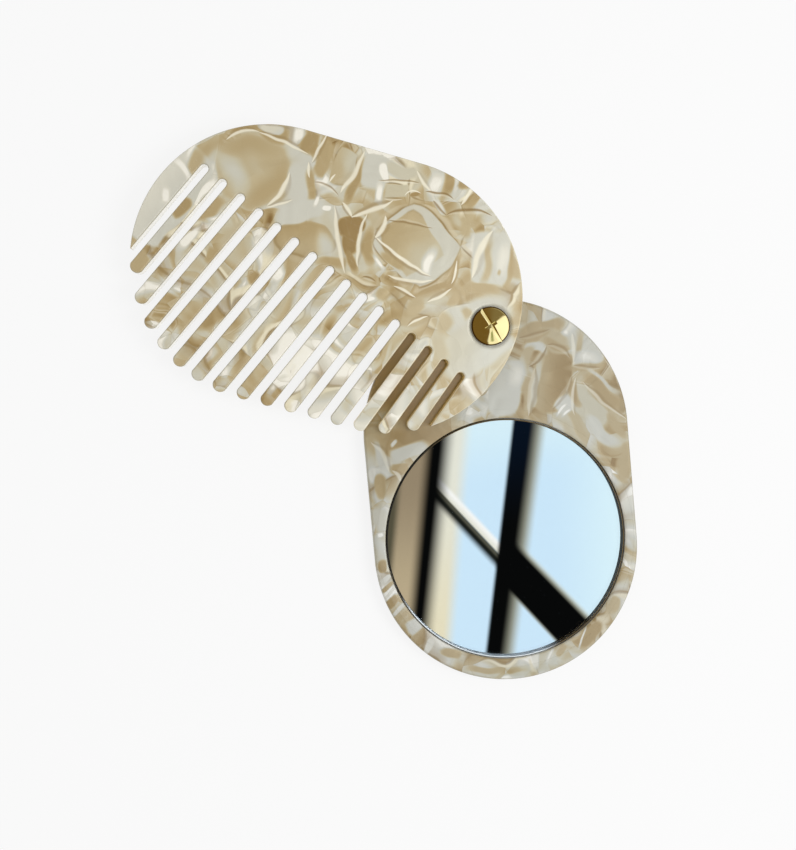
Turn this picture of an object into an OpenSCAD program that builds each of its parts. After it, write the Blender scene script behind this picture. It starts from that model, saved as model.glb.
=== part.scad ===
// Folding pocket comb: a comb plate and a mirror plate of the same outline, held together by one
// brass pivot, so that the comb swings out from over the mirror. Millimetres.
// Z = 0 is the back face, +Z points out of the mirror, and the pivot axis is the Z axis.
// The mirror plate runs from the pivot towards -Y.

/* [Plates] */
// Length of each plate, from end to end
plate_l = 95.8; // [92:0.1:105]
// Width of each plate, which is also the diameter of its round ends
plate_w = 66.6; // [65:0.1:72]
// Thickness of the mirror plate
mirror_plate_t = 4.0; // [3.6:0.1:5]
// Thickness of the comb plate
comb_t = 4.0; // [3:0.1:5]
// Rounding along the outer edges of both plates
edge_r = 0.8; // [0.4:0.1:1.2]
// Distance from the pivot axis to the near end of each plate
pivot_inset = 7.0; // [6.8:0.1:9]
// Angle by which the comb is swung out from its closed place over the mirror
open_angle = 110.6; // [0:0.1:180]

/* [Mirror] */
// Diameter of the mirror glass
glass_d = 60.0; // [54:0.5:61]
// Thickness of the mirror glass
glass_t = 2.0; // [1.5:0.1:2.3]
// Ground bevel around both edges of the glass
glass_bevel = 0.25; // [0.1:0.05:0.4]
// Thickness of the silver and paint on the back of the glass
backing_t = 0.1; // [0.05:0.01:0.2]
// Thickness of the adhesive disc under the glass
tape_t = 0.3; // [0.2:0.05:0.4]
// Margin by which the adhesive disc is smaller than the glass, all round
tape_margin = 1.5; // [0.5:0.1:4]
// Gap between the glass and the wall of its pocket
glass_gap = 0.3; // [0.2:0.05:0.5]
// Depth of the glass below the face of the mirror plate
glass_sink = 0.1; // [0.05:0.05:0.3]
// Material between the mirror pocket and the far end of the plate
mirror_end_wall = 5.4; // [4.5:0.1:8]
// Width of the eased lip around the mirror pocket
lip_w = 1.6; // [0.6:0.1:2]
// Drop of the eased lip at the pocket wall
lip_drop = 0.25; // [0.1:0.05:0.5]

/* [Comb] */
// Angle between the line of slot roots and the length of the comb
rack_tilt = 23.4; // [18:0.1:28]
// Distance from the pivot axis to the line on which the slots end
root_line = 13.2; // [11.5:0.1:16]
// Width of each slot
slot_w = 2.1; // [1.6:0.05:2.6]
// Rounding along the edges of the teeth
tooth_edge_r = 0.35; // [0.15:0.05:0.5]
// How far the radius of each tooth tip goes beyond half the width of the tooth
tip_ease = 0.05; // [0.02:0.01:0.1]
// Distance between the tooth tips and the outline of the plate
tip_inset = 0.1; // [0.05:0.05:0.3]
// Number of coarse slots at the far end
coarse_n = 7; // [4:1:9]
// Spacing of the coarse slots
coarse_pitch = 5.5; // [5:0.05:6]
// Lean of the coarse slots, from square to the line of roots
coarse_lean = 1.3; // [0:0.1:3]
// Spacing of the fine slots
fine_pitch = 5.1; // [4.6:0.05:5.5]
// Angle by which each fine slot turns back from the one before it
fine_fan = 0.55; // [0:0.05:0.8]
// Width of the guard outside the first slot, at the far end
far_guard = 7.1; // [6:0.1:9]
// Least width of the guard outside the last slot, at the pivot end
near_guard = 6.5; // [5.5:0.1:8]

/* [Pivot] */
// Diameter of the screw head
head_d = 9.5; // [8:0.1:10]
// Height of the straight rim of the screw head
head_rim = 0.5; // [0.3:0.1:0.8]
// Height of the shallow crown above the rim
head_crown = 0.8; // [0.5:0.1:1.2]
// Width of the driver slot and of its short cross
drive_w = 0.8; // [0.6:0.05:1]
// Depth of the driver slot below the top of the crown
drive_depth = 0.7; // [0.5:0.05:0.9]
// Length of the short cross in the head
cross_l = 3.2; // [2.4:0.1:4]
// Direction of the driver slot
drive_turn = 117; // [0:1:180]
// Diameter of the screw thread
screw_d = 3.0; // [2.5:0.1:3.5]
// Radial gap between the screw thread and the barrel of the nut
thread_gap = 0.05; // [0.02:0.01:0.1]
// Gap between the end of the screw and the floor of the barrel
screw_end_gap = 0.5; // [0.3:0.1:1]
// Outer diameter of the barrel, on which the comb turns
barrel_d = 5.0; // [4.6:0.1:5.4]
// Radial running clearance between the barrel and what turns on it
running_gap = 0.05; // [0.02:0.01:0.09]
// Diameter of the flat head of the barrel nut
nut_head_d = 9.5; // [8:0.1:11]
// Thickness of the flat head of the barrel nut
nut_head_t = 1.2; // [0.8:0.1:1.6]
// Radial gap between the nut head and its seat in the mirror plate
nut_gap = 0.1; // [0.05:0.05:0.2]
// Small bevel on the brass edges
brass_bevel = 0.15; // [0.05:0.05:0.25]
// Margin of the round seat in the comb around the screw head
seat_gap = 1.05; // [0.5:0.05:1.2]
// Depth of the round seat in the comb
seat_depth = 0.4; // [0.2:0.05:0.8]
// Free height of the disc spring under the screw head
spring_h = 0.4; // [0.3:0.05:0.6]
// Sheet thickness of the disc spring
spring_t = 0.2; // [0.1:0.05:0.25]
// Margin by which the disc spring is smaller than the screw head
spring_margin = 0.5; // [0.3:0.1:1]
// Outer diameter of the friction washer between the plates
washer_d = 12.0; // [8:0.1:12.5]
// Thickness of the friction washer between the plates
washer_t = 0.3; // [0.2:0.05:0.5]

/* [Hidden] */
$fn = 96;

// Steps in each rounded edge, and how far a cutter runs past the face that it opens
edge_steps = 4;
past = 1;

// Both plates: radius of the ends, and the centres of the ends along the plate from the pivot
plate_r = plate_w / 2;
near_c = plate_r - pivot_inset;
far_c = plate_l - pivot_inset - plate_r;

// Direction of each plate from the pivot, as an angle from +X
mirror_dir = -90;
comb_dir = mirror_dir - open_angle;

// Levels, from the back face up
washer_z = mirror_plate_t;
comb_z = washer_z + washer_t;
comb_top_z = comb_z + comb_t;
seat_z = comb_top_z - seat_depth;
head_z = seat_z + spring_h;
head_top_z = head_z + head_rim + head_crown;

// Mirror pocket
pocket_r = glass_d / 2 + glass_gap;
mirror_c = plate_l - pivot_inset - mirror_end_wall - pocket_r;
tape_z = mirror_plate_t - glass_sink - glass_t - backing_t - tape_t;
backing_z = tape_z + tape_t;
glass_z = backing_z + backing_t;
side_wall = plate_r - pocket_r;
lip = min(lip_w, side_wall - edge_r);

// Bores on the pivot axis
running_r = barrel_d / 2 + running_gap;
thread_bore_r = screw_d / 2 + thread_gap;

// Slots, counted from the far end, in the frame of the line of roots: x runs along that line away
// from the pivot, and y runs from the roots to the tips
far_reach = far_c * cos(rack_tilt) + plate_r;
near_reach = near_c * cos(rack_tilt) - plate_r;
first_slot = far_reach - far_guard;
first_fine = first_slot - (coarse_n - 1) * coarse_pitch - (coarse_pitch + fine_pitch) / 2;
fine_n = 1 + floor((first_fine - near_reach - near_guard) / fine_pitch);
slot_n = coarse_n + fine_n;
slot_end_r = slot_w / 2;
root_y = root_line + slot_end_r;
tip_edge_r = tooth_edge_r - tip_ease;

function slot_x(k) = k < coarse_n ? first_slot - k * coarse_pitch
                                  : first_fine - (k - coarse_n) * fine_pitch;
function slot_lean(k) = coarse_lean - fine_fan * max(0, k - coarse_n + 1);

// A point or direction of the frame of the roots, given in the frame of the comb plate
function in_comb(p) = [p.x * cos(rack_tilt) + p.y * sin(rack_tilt),
                       p.y * cos(rack_tilt) - p.x * sin(rack_tilt)];

// Distance from p along d to a circle about the origin, and to the plate outline shrunk to end_r
function circle_reach(p, d, end_r) = let (b = p * d) sqrt(b * b - p * p + end_r * end_r) - b;
function outline_reach(p, d, end_r) =
    let (side = (end_r - p.y) / d.y, x = p.x + side * d.x)
    x > far_c ? circle_reach(p - [far_c, 0], d, end_r)
  : x < near_c ? circle_reach(p - [near_c, 0], d, end_r)
  : side;

// Tooth k lies between slots k and k + 1: its root, its lean, and half its width at a distance
function tooth_x(k) = (slot_x(k) + slot_x(k + 1)) / 2;
function tooth_lean(k) = (slot_lean(k) + slot_lean(k + 1)) / 2;
function tooth_half(k, along) =
    (slot_x(k) - slot_x(k + 1)) / 2 * cos(tooth_lean(k)) - slot_end_r
    + along * tan((slot_lean(k) - slot_lean(k + 1)) / 2);
function tooth_dir(k) = in_comb([sin(tooth_lean(k)), cos(tooth_lean(k))]);
function tip_reach(k, tip_r) =
    outline_reach(in_comb([tooth_x(k), root_y]), tooth_dir(k), plate_r - tip_inset - tip_r);
function tip_radius(k) = tip_ease + tooth_half(k, tip_reach(k, tooth_half(k, 0)));

// Points of a rounded corner, from angle a0 to a1
function corner(c, r, a0, a1) =
    [for (i = [0:edge_steps]) let (a = a0 + (a1 - a0) * i / edge_steps) c + r * [cos(a), sin(a)]];

// Half of the section of a slab with rounded edges: x from the middle, y up
function half_slab(half, t, r) = concat(
    [[0, 0]], corner([half - r, r], r, -90, 0), corner([half - r, t - r], r, 0, 90), [[0, t]]);

// Half of the section of a cutter that leaves rounded edges on both faces of a slab
function half_slot(half, t, r) = concat(
    [[0, -past], [half + r, -past]], corner([half + r, r], r, -90, -180),
    corner([half + r, t - r], r, 180, 90), [[half + r, t + past], [0, t + past]]);

function mirrored(points) = [for (i = [len(points) - 1:-1:0]) [-points[i].x, points[i].y]];

// A bar with a given half section, running along +X from the origin
module bar(half_section, length) {
    rotate([90, 0, 90]) linear_extrude(length)
        union() {
            polygon(half_section);
            polygon(mirrored(half_section));
        }
}

// The slab that both plates are cut from, along +X from the pivot
module plate_blank(t) {
    section = half_slab(plate_r, t, edge_r);
    translate([near_c, 0, 0]) {
        rotate(90) rotate_extrude(angle = 180) polygon(section);
        bar(section, far_c - near_c);
    }
    translate([far_c, 0, 0]) rotate(-90) rotate_extrude(angle = 180) polygon(section);
}

// One slot, from its round root to past the outline
module slot(k) {
    section = half_slot(slot_end_r, comb_t, tooth_edge_r);
    translate([slot_x(k), root_y, 0]) rotate(90 - slot_lean(k)) {
        rotate_extrude() polygon(section);
        bar(section, plate_w);
    }
}

// What is cut away around the round tip of one tooth
module tip_cut(k) {
    tip_r = tip_radius(k);
    reach = tip_reach(k, tip_r);
    width = 2 * tip_r + slot_w;
    translate([tooth_x(k), root_y, 0]) rotate(90 - tooth_lean(k)) translate([reach, 0, 0])
        difference() {
            translate([0, -width / 2, -past]) cube([plate_r, width, comb_t + 2 * past]);
            rotate_extrude() polygon(half_slab(tip_r, comb_t, tip_edge_r));
        }
}

module comb_plate() {
    color([0.83, 0.79, 0.68])
    translate([0, 0, comb_z]) rotate(comb_dir) difference() {
        plate_blank(comb_t);
        rotate(-rack_tilt) {
            for (k = [0:slot_n - 1]) slot(k);
            for (k = [0:slot_n - 2]) tip_cut(k);
        }
        translate([0, 0, -past]) cylinder(h = comb_t + 2 * past, r = running_r);
        translate([0, 0, comb_t - seat_depth]) cylinder(h = seat_depth + past, r = head_d / 2 + seat_gap);
    }
}

module mirror_plate() {
    lip_z = mirror_plate_t - lip_drop;
    top_z = mirror_plate_t + past;
    color([0.80, 0.76, 0.64])
    difference() {
        rotate(mirror_dir) plate_blank(mirror_plate_t);
        rotate(mirror_dir) translate([mirror_c, 0, 0]) rotate_extrude() polygon([
            [0, tape_z], [pocket_r, tape_z], [pocket_r, lip_z], [pocket_r + lip, mirror_plate_t],
            [pocket_r + lip, top_z], [0, top_z]]);
        translate([0, 0, -past]) cylinder(h = mirror_plate_t + 2 * past, r = running_r);
        translate([0, 0, -past]) cylinder(h = nut_head_t + past, r = nut_head_d / 2 + nut_gap);
    }
}

// A round disc on the mirror's axis
module mirror_disc(z, t, r, bevel) {
    rotate(mirror_dir) translate([mirror_c, 0, z]) rotate_extrude() polygon([
        [0, 0], [r - bevel, 0], [r, bevel], [r, t - bevel], [r - bevel, t], [0, t]]);
}

module mirror_glass() {
    color([0.75, 0.85, 0.92]) mirror_disc(glass_z, glass_t, glass_d / 2, glass_bevel);
}

module silver_backing() {
    color([0.55, 0.57, 0.60])
    rotate(mirror_dir) translate([mirror_c, 0, backing_z]) cylinder(h = backing_t, r = glass_d / 2 - glass_bevel);
}

module adhesive_disc() {
    color([0.95, 0.95, 0.93])
    rotate(mirror_dir) translate([mirror_c, 0, tape_z]) cylinder(h = tape_t, r = glass_d / 2 - tape_margin);
}

module pivot_screw() {
    head_r = head_d / 2;
    shank_end_z = nut_head_t + screw_end_gap;
    drive_z = head_top_z - drive_depth;
    color([0.78, 0.66, 0.33])
    difference() {
        rotate_extrude() polygon([
            [0, shank_end_z], [screw_d / 2, shank_end_z], [screw_d / 2, head_z],
            [head_r - brass_bevel, head_z], [head_r, head_z + brass_bevel],
            [head_r, head_z + head_rim - brass_bevel], [head_r - brass_bevel, head_z + head_rim],
            [0, head_top_z]]);
        rotate(drive_turn) translate([-head_d / 2 - past, -drive_w / 2, drive_z])
            cube([head_d + 2 * past, drive_w, drive_depth + past]);
        rotate(drive_turn + 90) translate([-cross_l / 2, -drive_w / 2, drive_z])
            cube([cross_l, drive_w, drive_depth + past]);
    }
}

module disc_spring() {
    outer_r = head_d / 2 - spring_margin;
    color([0.70, 0.71, 0.73])
    translate([0, 0, seat_z]) rotate_extrude() polygon([
        [running_r, spring_h - spring_t], [outer_r, 0], [outer_r, spring_t], [running_r, spring_h]]);
}

module friction_washer() {
    color([0.92, 0.92, 0.90])
    translate([0, 0, washer_z]) difference() {
        cylinder(h = washer_t, r = washer_d / 2);
        translate([0, 0, -past]) cylinder(h = washer_t + 2 * past, r = running_r);
    }
}

module barrel_nut() {
    nut_r = nut_head_d / 2;
    color([0.76, 0.63, 0.30])
    rotate_extrude() polygon([
        [0, 0], [nut_r - brass_bevel, 0], [nut_r, brass_bevel], [nut_r, nut_head_t],
        [barrel_d / 2, nut_head_t], [barrel_d / 2, head_z], [thread_bore_r, head_z],
        [thread_bore_r, nut_head_t], [0, nut_head_t]]);
}

comb_plate();
mirror_plate();
mirror_glass();
silver_backing();
adhesive_disc();
pivot_screw();
disc_spring();
friction_washer();
barrel_nut();
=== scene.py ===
"""The looks of a folding pocket comb: a comb plate and a mirror plate of pearl acetate on a brass pivot.

Everything is in metres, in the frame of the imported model: the pivot axis is Z, Z = 0 is the back face
that the comb lies on, and the mirror plate runs from the pivot towards -Y.
"""

from __future__ import annotations

import logging
import math
from collections.abc import Callable, Iterator
from contextlib import contextmanager
from dataclasses import dataclass
from enum import Enum

import bmesh
import bpy
from mathutils import Matrix, Vector

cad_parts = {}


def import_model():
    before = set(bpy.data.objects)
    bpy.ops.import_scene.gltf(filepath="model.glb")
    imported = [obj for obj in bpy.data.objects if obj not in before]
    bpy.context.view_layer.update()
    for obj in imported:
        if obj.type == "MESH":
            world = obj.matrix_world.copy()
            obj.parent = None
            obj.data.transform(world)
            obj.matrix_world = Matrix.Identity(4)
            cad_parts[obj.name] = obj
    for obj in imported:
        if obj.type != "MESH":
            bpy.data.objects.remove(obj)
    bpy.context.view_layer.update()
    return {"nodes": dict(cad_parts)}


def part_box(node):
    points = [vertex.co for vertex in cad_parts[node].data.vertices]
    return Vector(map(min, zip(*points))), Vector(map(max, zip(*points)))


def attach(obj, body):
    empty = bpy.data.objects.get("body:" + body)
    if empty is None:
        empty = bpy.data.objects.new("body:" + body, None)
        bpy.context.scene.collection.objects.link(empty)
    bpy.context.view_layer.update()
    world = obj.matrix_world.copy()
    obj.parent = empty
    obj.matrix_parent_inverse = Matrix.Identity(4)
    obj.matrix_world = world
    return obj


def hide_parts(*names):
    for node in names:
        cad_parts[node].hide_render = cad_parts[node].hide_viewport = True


MM = 0.001
LOG = logging.getLogger("folding_comb")
CUT_MARK = "cut"
FLAT = 1e-7
ROUND = 192
SMOOTH_ANGLE = math.radians(32)
Socket = bpy.types.NodeSocket
Piece = bpy.types.Object


class Body(Enum):
    """The two halves that swing on the pivot."""

    MIRROR = "mirror_half"
    COMB = "comb_half"


def deselect_all() -> None:
    """Leaves nothing selected."""
    bpy.ops.object.select_all(action="DESELECT")


def make_active(piece: Piece) -> None:
    """Selects one object alone and makes it the active one."""
    deselect_all()
    piece.select_set(True)
    bpy.context.view_layer.objects.active = piece


@contextmanager
def editing(piece: Piece, mode: str = "VERT") -> Iterator[bmesh.types.BMesh]:
    """Opens a piece in edit mode with nothing selected, and closes it again.

    Args:
        piece: The object to edit.
        mode: VERT, EDGE or FACE.
    """
    make_active(piece)
    bpy.ops.object.mode_set(mode="EDIT")
    bpy.ops.mesh.select_mode(type=mode)
    bpy.ops.mesh.select_all(action="DESELECT")
    yield bmesh.from_edit_mesh(piece.data)
    bpy.ops.object.mode_set(mode="OBJECT")


def pick(piece: Piece, mesh: bmesh.types.BMesh, parts: str, wanted: Callable) -> None:
    """Selects the parts of an open mesh that pass a test.

    Args:
        piece: The object in edit mode.
        mesh: Its open mesh.
        parts: verts, edges or faces.
        wanted: Says of one part whether it is selected.
    """
    for part in getattr(mesh, parts):
        if wanted(part):
            part.select_set(True)
    mesh.select_flush_mode()
    bmesh.update_edit_mesh(piece.data)


def is_level(edge: bmesh.types.BMEdge) -> bool:
    """Whether both ends of an edge lie on one level."""
    return abs(edge.verts[0].co.z - edge.verts[1].co.z) < FLAT


def settle(piece: Piece) -> Piece:
    """Puts a piece's place and turn into its mesh, so that its object sits at the origin."""
    make_active(piece)
    bpy.ops.object.transform_apply(location=True, rotation=True, scale=True)
    return piece


def turn(piece: Piece, angle: float, move: Vector | None = None) -> Piece:
    """Turns a settled piece about Z, then moves it, and settles it again.

    Args:
        piece: The piece.
        angle: Turn about Z in radians.
        move: How far it moves after the turn.

    Returns:
        The piece.
    """
    piece.rotation_euler = (0.0, 0.0, angle)
    piece.location = move or Vector((0.0, 0.0, 0.0))
    return settle(piece)


def add_disc(name: str, radius: float, low: float, high: float, segments: int,
             centre: Vector | None = None) -> Piece:
    """Adds an upright round blank whose flats lie on its radius, with no corner on either axis.

    Args:
        name: Name of the object and its mesh.
        radius: Radius to the flats.
        low: Level of its under side.
        high: Level of its upper side.
        segments: Number of flats, a multiple of four.
        centre: Its centre in plan.

    Returns:
        The settled blank.
    """
    place = centre or Vector((0.0, 0.0, 0.0))
    bpy.ops.mesh.primitive_cylinder_add(
        vertices=segments,
        radius=radius / math.cos(math.pi / segments),
        depth=high - low,
        end_fill_type="NGON",
        location=(place.x, place.y, (low + high) / 2),
        rotation=(0.0, 0.0, math.pi / segments),
    )
    blank = bpy.context.active_object
    blank.name = blank.data.name = name
    return settle(blank)


def stretch(piece: Piece, beyond: float, length: float) -> Piece:
    """Moves all that lies beyond an X along by a length, which draws a disc out into a slab."""
    with editing(piece) as mesh:
        pick(piece, mesh, "verts", lambda v: v.co.x > beyond)
        bpy.ops.transform.translate(value=(length, 0.0, 0.0))
    return piece


def apply_modifier(piece: Piece, kind: str, **settings: object) -> None:
    """Adds a modifier with the given settings and applies it at once."""
    make_active(piece)
    modifier = piece.modifiers.new(kind.lower(), kind)
    for key, value in settings.items():
        setattr(modifier, key, value)
    bpy.ops.object.modifier_apply(modifier=modifier.name)


def cut_away(piece: Piece, cutter: Piece) -> None:
    """Cuts a cutter out of a piece and throws the cutter away."""
    apply_modifier(piece, "BOOLEAN", operation="DIFFERENCE", solver="EXACT", object=cutter)
    bpy.data.meshes.remove(cutter.data)


def copy_of(piece: Piece) -> Piece:
    """Copies a piece with a mesh of its own."""
    twin = piece.copy()
    twin.data = piece.data.copy()
    bpy.context.scene.collection.objects.link(twin)
    return twin


def join(pieces: list[Piece]) -> Piece:
    """Joins pieces into the first of them."""
    make_active(pieces[0])
    for piece in pieces:
        piece.select_set(True)
    bpy.ops.object.join()
    return pieces[0]


def flare(piece: Piece, level: float, steps: list[tuple[float, float]]) -> None:
    """Extrudes the flat top of a round piece upwards in steps, each with its own radius.

    Args:
        piece: A round piece on the Z axis.
        level: The level of its top.
        steps: The level and the radius of each new ring, from the bottom up.
    """
    with editing(piece, "FACE") as mesh:
        pick(piece, mesh, "faces",
             lambda f: f.normal.z > 0.9 and abs(f.calc_center_median().z - level) < FLAT)
        radius = max(v.co.xy.length for v in mesh.verts if v.select)
        for next_level, next_radius in steps:
            rise = next_level - level
            bpy.ops.mesh.extrude_region_move(TRANSFORM_OT_translate={"value": (0.0, 0.0, rise)})
            ratio = next_radius / radius
            bpy.ops.transform.resize(value=(ratio, ratio, 1.0), center_override=(0.0, 0.0, next_level))
            level, radius = next_level, next_radius


def round_edges(piece: Piece, radius: float, segments: int, wanted: Callable) -> None:
    """Rounds the chosen edges of a piece.

    Args:
        piece: The piece.
        radius: Radius of the rounding.
        segments: Steps across it.
        wanted: Says of one edge whether it is rounded.
    """
    with editing(piece, "EDGE") as mesh:
        pick(piece, mesh, "edges", wanted)
        bpy.ops.mesh.bevel(offset=radius, segments=segments, clamp_overlap=False)


def finish_surface(piece: Piece, angle: float) -> None:
    """Smooths a piece up to an angle, with the broad faces kept flat."""
    with editing(piece, "FACE"):
        bpy.ops.mesh.select_all(action="SELECT")
        bpy.ops.mesh.normals_make_consistent(inside=False)
    make_active(piece)
    bpy.ops.object.shade_smooth_by_angle(angle=angle)
    apply_modifier(piece, "WEIGHTED_NORMAL", mode="FACE_AREA", weight=50, keep_sharp=True)


def dress(piece: Piece, material: bpy.types.Material) -> None:
    """Gives a piece one material all over."""
    piece.data.materials.clear()
    piece.data.materials.append(material)


class Wiring:
    """Builds the node tree of one material."""

    def __init__(self, name: str) -> None:
        """Starts an empty material with an output."""
        self.material = bpy.data.materials.new(name)
        self.material.use_nodes = True
        self.tree = self.material.node_tree
        self.tree.nodes.clear()
        self.output = self.tree.nodes.new("ShaderNodeOutputMaterial")

    @classmethod
    def of(cls, tree: bpy.types.NodeTree) -> Wiring:
        """Continues a node tree that is there already."""
        wiring = cls.__new__(cls)
        wiring.tree = tree
        return wiring

    @classmethod
    def group(cls, name: str, inputs: dict[str, str],
              outputs: dict[str, str]) -> tuple[Wiring, object, object]:
        """Starts a node group.

        Args:
            name: Its name.
            inputs: Its inputs and their kinds, such as Float, Vector or Color.
            outputs: Its outputs and their kinds.

        Returns:
            The wiring of the group, the sockets that it is given and the sockets that it gives.
        """
        tree = bpy.data.node_groups.new(name, "ShaderNodeTree")
        for way, sockets in (("INPUT", inputs), ("OUTPUT", outputs)):
            for socket, kind in sockets.items():
                tree.interface.new_socket(socket, in_out=way, socket_type="NodeSocket" + kind)
        given = tree.nodes.new("NodeGroupInput").outputs
        return cls.of(tree), given, tree.nodes.new("NodeGroupOutput").inputs

    def use(self, group: bpy.types.NodeTree, inputs: dict) -> bpy.types.bpy_prop_collection:
        """Adds a use of a node group and returns its outputs."""
        node = self.tree.nodes.new("ShaderNodeGroup")
        node.node_tree = group
        for key, value in inputs.items():
            self.feed(node.inputs[key], value)
        return node.outputs

    def add(self, kind: str, inputs: dict | None = None, **settings: object) -> bpy.types.Node:
        """Adds a node.

        Args:
            kind: The node type, without its ShaderNode prefix.
            inputs: Values or sockets for its inputs, by name or number.
            settings: Properties of the node.

        Returns:
            The node.
        """
        node = self.tree.nodes.new("ShaderNode" + kind)
        for key, value in settings.items():
            setattr(node, key, value)
        for key, value in (inputs or {}).items():
            self.feed(node.inputs[key], value)
        return node

    def feed(self, socket: Socket, value: object) -> None:
        """Links a socket to another, or sets its value. A colour is given as three numbers."""
        if isinstance(value, Socket):
            self.tree.links.new(value, socket)
        elif socket.type == "RGBA":
            socket.default_value = (*value, 1.0)
        else:
            socket.default_value = value

    def math(self, operation: str, *values: object) -> Socket:
        """Adds a Math node and returns its result."""
        return self.add("Math", dict(enumerate(values)), operation=operation).outputs[0]

    def times(self, first: object, second: object) -> Socket:
        """Multiplies two numbers."""
        return self.math("MULTIPLY", first, second)

    def vector(self, operation: str, *values: object) -> Socket:
        """Adds a Vector Math node and returns its result."""
        node = self.add("VectorMath", dict(enumerate(values)), operation=operation)
        return node.outputs["Value" if operation in ("DOT_PRODUCT", "LENGTH", "DISTANCE") else "Vector"]

    def scaled(self, vector: object, factor: object) -> Socket:
        """Multiplies a vector by a number."""
        node = self.add("VectorMath", {0: vector, "Scale": factor}, operation="SCALE")
        return node.outputs["Vector"]

    def band(self, value: object, low: float, high: float, to_low: float = 0.0,
             to_high: float = 1.0) -> Socket:
        """Maps a value smoothly from one range to another, and holds it there."""
        node = self.add("MapRange", {"Value": value, "From Min": low, "From Max": high,
                                     "To Min": to_low, "To Max": to_high},
                        interpolation_type="SMOOTHSTEP")
        return node.outputs["Result"]

    def blend(self, factor: object, first: object, second: object) -> Socket:
        """Mixes two numbers."""
        return self.add("Mix", {"Factor": factor, 2: first, 3: second}, data_type="FLOAT").outputs[0]

    def lay(self, factor: object, first: object, second: object) -> Socket:
        """Mixes two vectors."""
        return self.add("Mix", {"Factor": factor, 4: first, 5: second}, data_type="VECTOR").outputs[1]

    def mix(self, factor: object, first: object, second: object,
            blend: str = "MIX") -> Socket:
        """Mixes two colours."""
        node = self.add("Mix", data_type="RGBA", blend_type=blend)
        for key, value in (("Factor", factor), (6, first), (7, second)):
            self.feed(node.inputs[key], value)
        return node.outputs[2]

    def patches(self, place: object, seed: tuple[float, float, float], scale: float) -> Socket:
        """Adds soft noise that comes and goes in patches."""
        start = self.vector("ADD", place, seed)
        return self.add("TexNoise", {"Vector": start, "Scale": scale, "Detail": 0.0}).outputs["Fac"]

    def by_glass(self, path: bpy.types.bpy_prop_collection) -> Socket:
        """Tells the rays that have gone through the glass or come off a perfectly sharp reflection.

        Args:
            path: The outputs of a Light Path node.

        Returns:
            1 for such a ray and 0 for any other.
        """
        return self.math("MAXIMUM", path["Is Singular Ray"], path["Is Transmission Ray"])

    def ramp(self, factor: object, stops: tuple[tuple[float, tuple], ...]) -> Socket:
        """Adds a straight colour ramp, whose stops give a place and a linear colour each."""
        node = self.add("ValToRGB", {"Fac": factor})
        elements = node.color_ramp.elements
        while len(elements) < len(stops):
            elements.new(1.0)
        for element, (place, _) in zip(elements, stops):
            element.position = place
        for element, (place, colour) in zip(elements, stops):
            element.position = place
            element.color = (*colour, 1.0)
        return node.outputs["Color"]

    def finish(self, shader: Socket) -> bpy.types.Material:
        """Connects the surface and returns the material."""
        self.feed(self.output.inputs["Surface"], shader)
        return self.material


def srgb(red: int, green: int, blue: int) -> tuple[float, float, float]:
    """Turns a colour as seen on a screen, 0 to 255, into linear light."""
    def one(value: float) -> float:
        """Turns one channel into linear light."""
        value /= 255.0
        return value / 12.92 if value <= 0.04045 else ((value + 0.055) / 1.055) ** 2.4
    return one(red), one(green), one(blue)


# Finishes


@dataclass(frozen=True)
class Flake:
    """One large flake of pearl, an uneven oval or square in plan that runs through the sheet.

    Its place and its half length and half width are in millimetres, and its angles in degrees.
    """

    x: float
    y: float
    long: float
    wide: float
    turn: float = 0.0
    tone: float = 0.5
    soft: float = 0.5
    tilt: float = 0.0
    toward: float = 0.0
    square: float = 0.4
    rim: float = 0.0
    inner: float = 0.0
    outer: float = 1.0

    def least(self) -> float:
        """Its smaller half."""
        return min(self.long, self.wide)

    def inputs(self) -> dict[str, object]:
        """What the node group of a flake is told of this one."""
        cosine, sine = math.cos(math.radians(self.turn)), math.sin(math.radians(self.turn))
        along = Vector((cosine, sine, 0.0)) / self.long
        across = Vector((-sine, cosine, 0.0)) / self.wide
        lean = math.radians(self.toward)
        blur = self.soft / self.least()
        return {
            "Own": (self.tone, 0.0, self.rim), "Along": along, "Across": across,
            "Start": along.dot((self.x, self.y, 0.0)), "Side": across.dot((self.x, self.y, 0.0)),
            "Lean": (self.tilt * math.cos(lean), self.tilt * math.sin(lean), 0.0),
            "Square": self.square, "Outside": 1.0 + blur, "Inside": 1.0 - blur,
        }


@dataclass(frozen=True)
class Ridge:
    """One sharp ridge of pearl, a light line that is bent to one side with a dark line beside it.

    Its ends, width and bow are in millimetres. Its bow is how far its middle stands off to the left.
    """

    start: tuple[float, float]
    end: tuple[float, float]
    width: float = 0.6
    bow: float = 0.0
    light: float = 0.9
    dark: float = 0.4
    side: float = 1.0
    least_bow: float = 0.05
    half_share: float = 0.62
    dark_offset: float = 1.45

    def inputs(self) -> dict[str, object]:
        """What the node group of a ridge is told of this one, which lies on an arc of a circle."""
        start, end = Vector(self.start), Vector(self.end)
        chord = end - start
        left = chord.orthogonal().normalized()
        bow = self.bow or self.least_bow
        radius = (chord.length_squared / 4 + bow * bow) / (2 * bow)
        crest = (start + end) / 2 + bow * left
        return {
            "Centre": (*(crest - radius * left), 0.0), "Radius": abs(radius), "Middle": (*crest, 0.0),
            "Reach": chord.length / 2, "Half Width": self.half_share * self.width,
            "Light": self.light, "Dark": self.dark,
            "Side": self.dark_offset * math.copysign(self.side, radius * self.side),
        }


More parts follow.
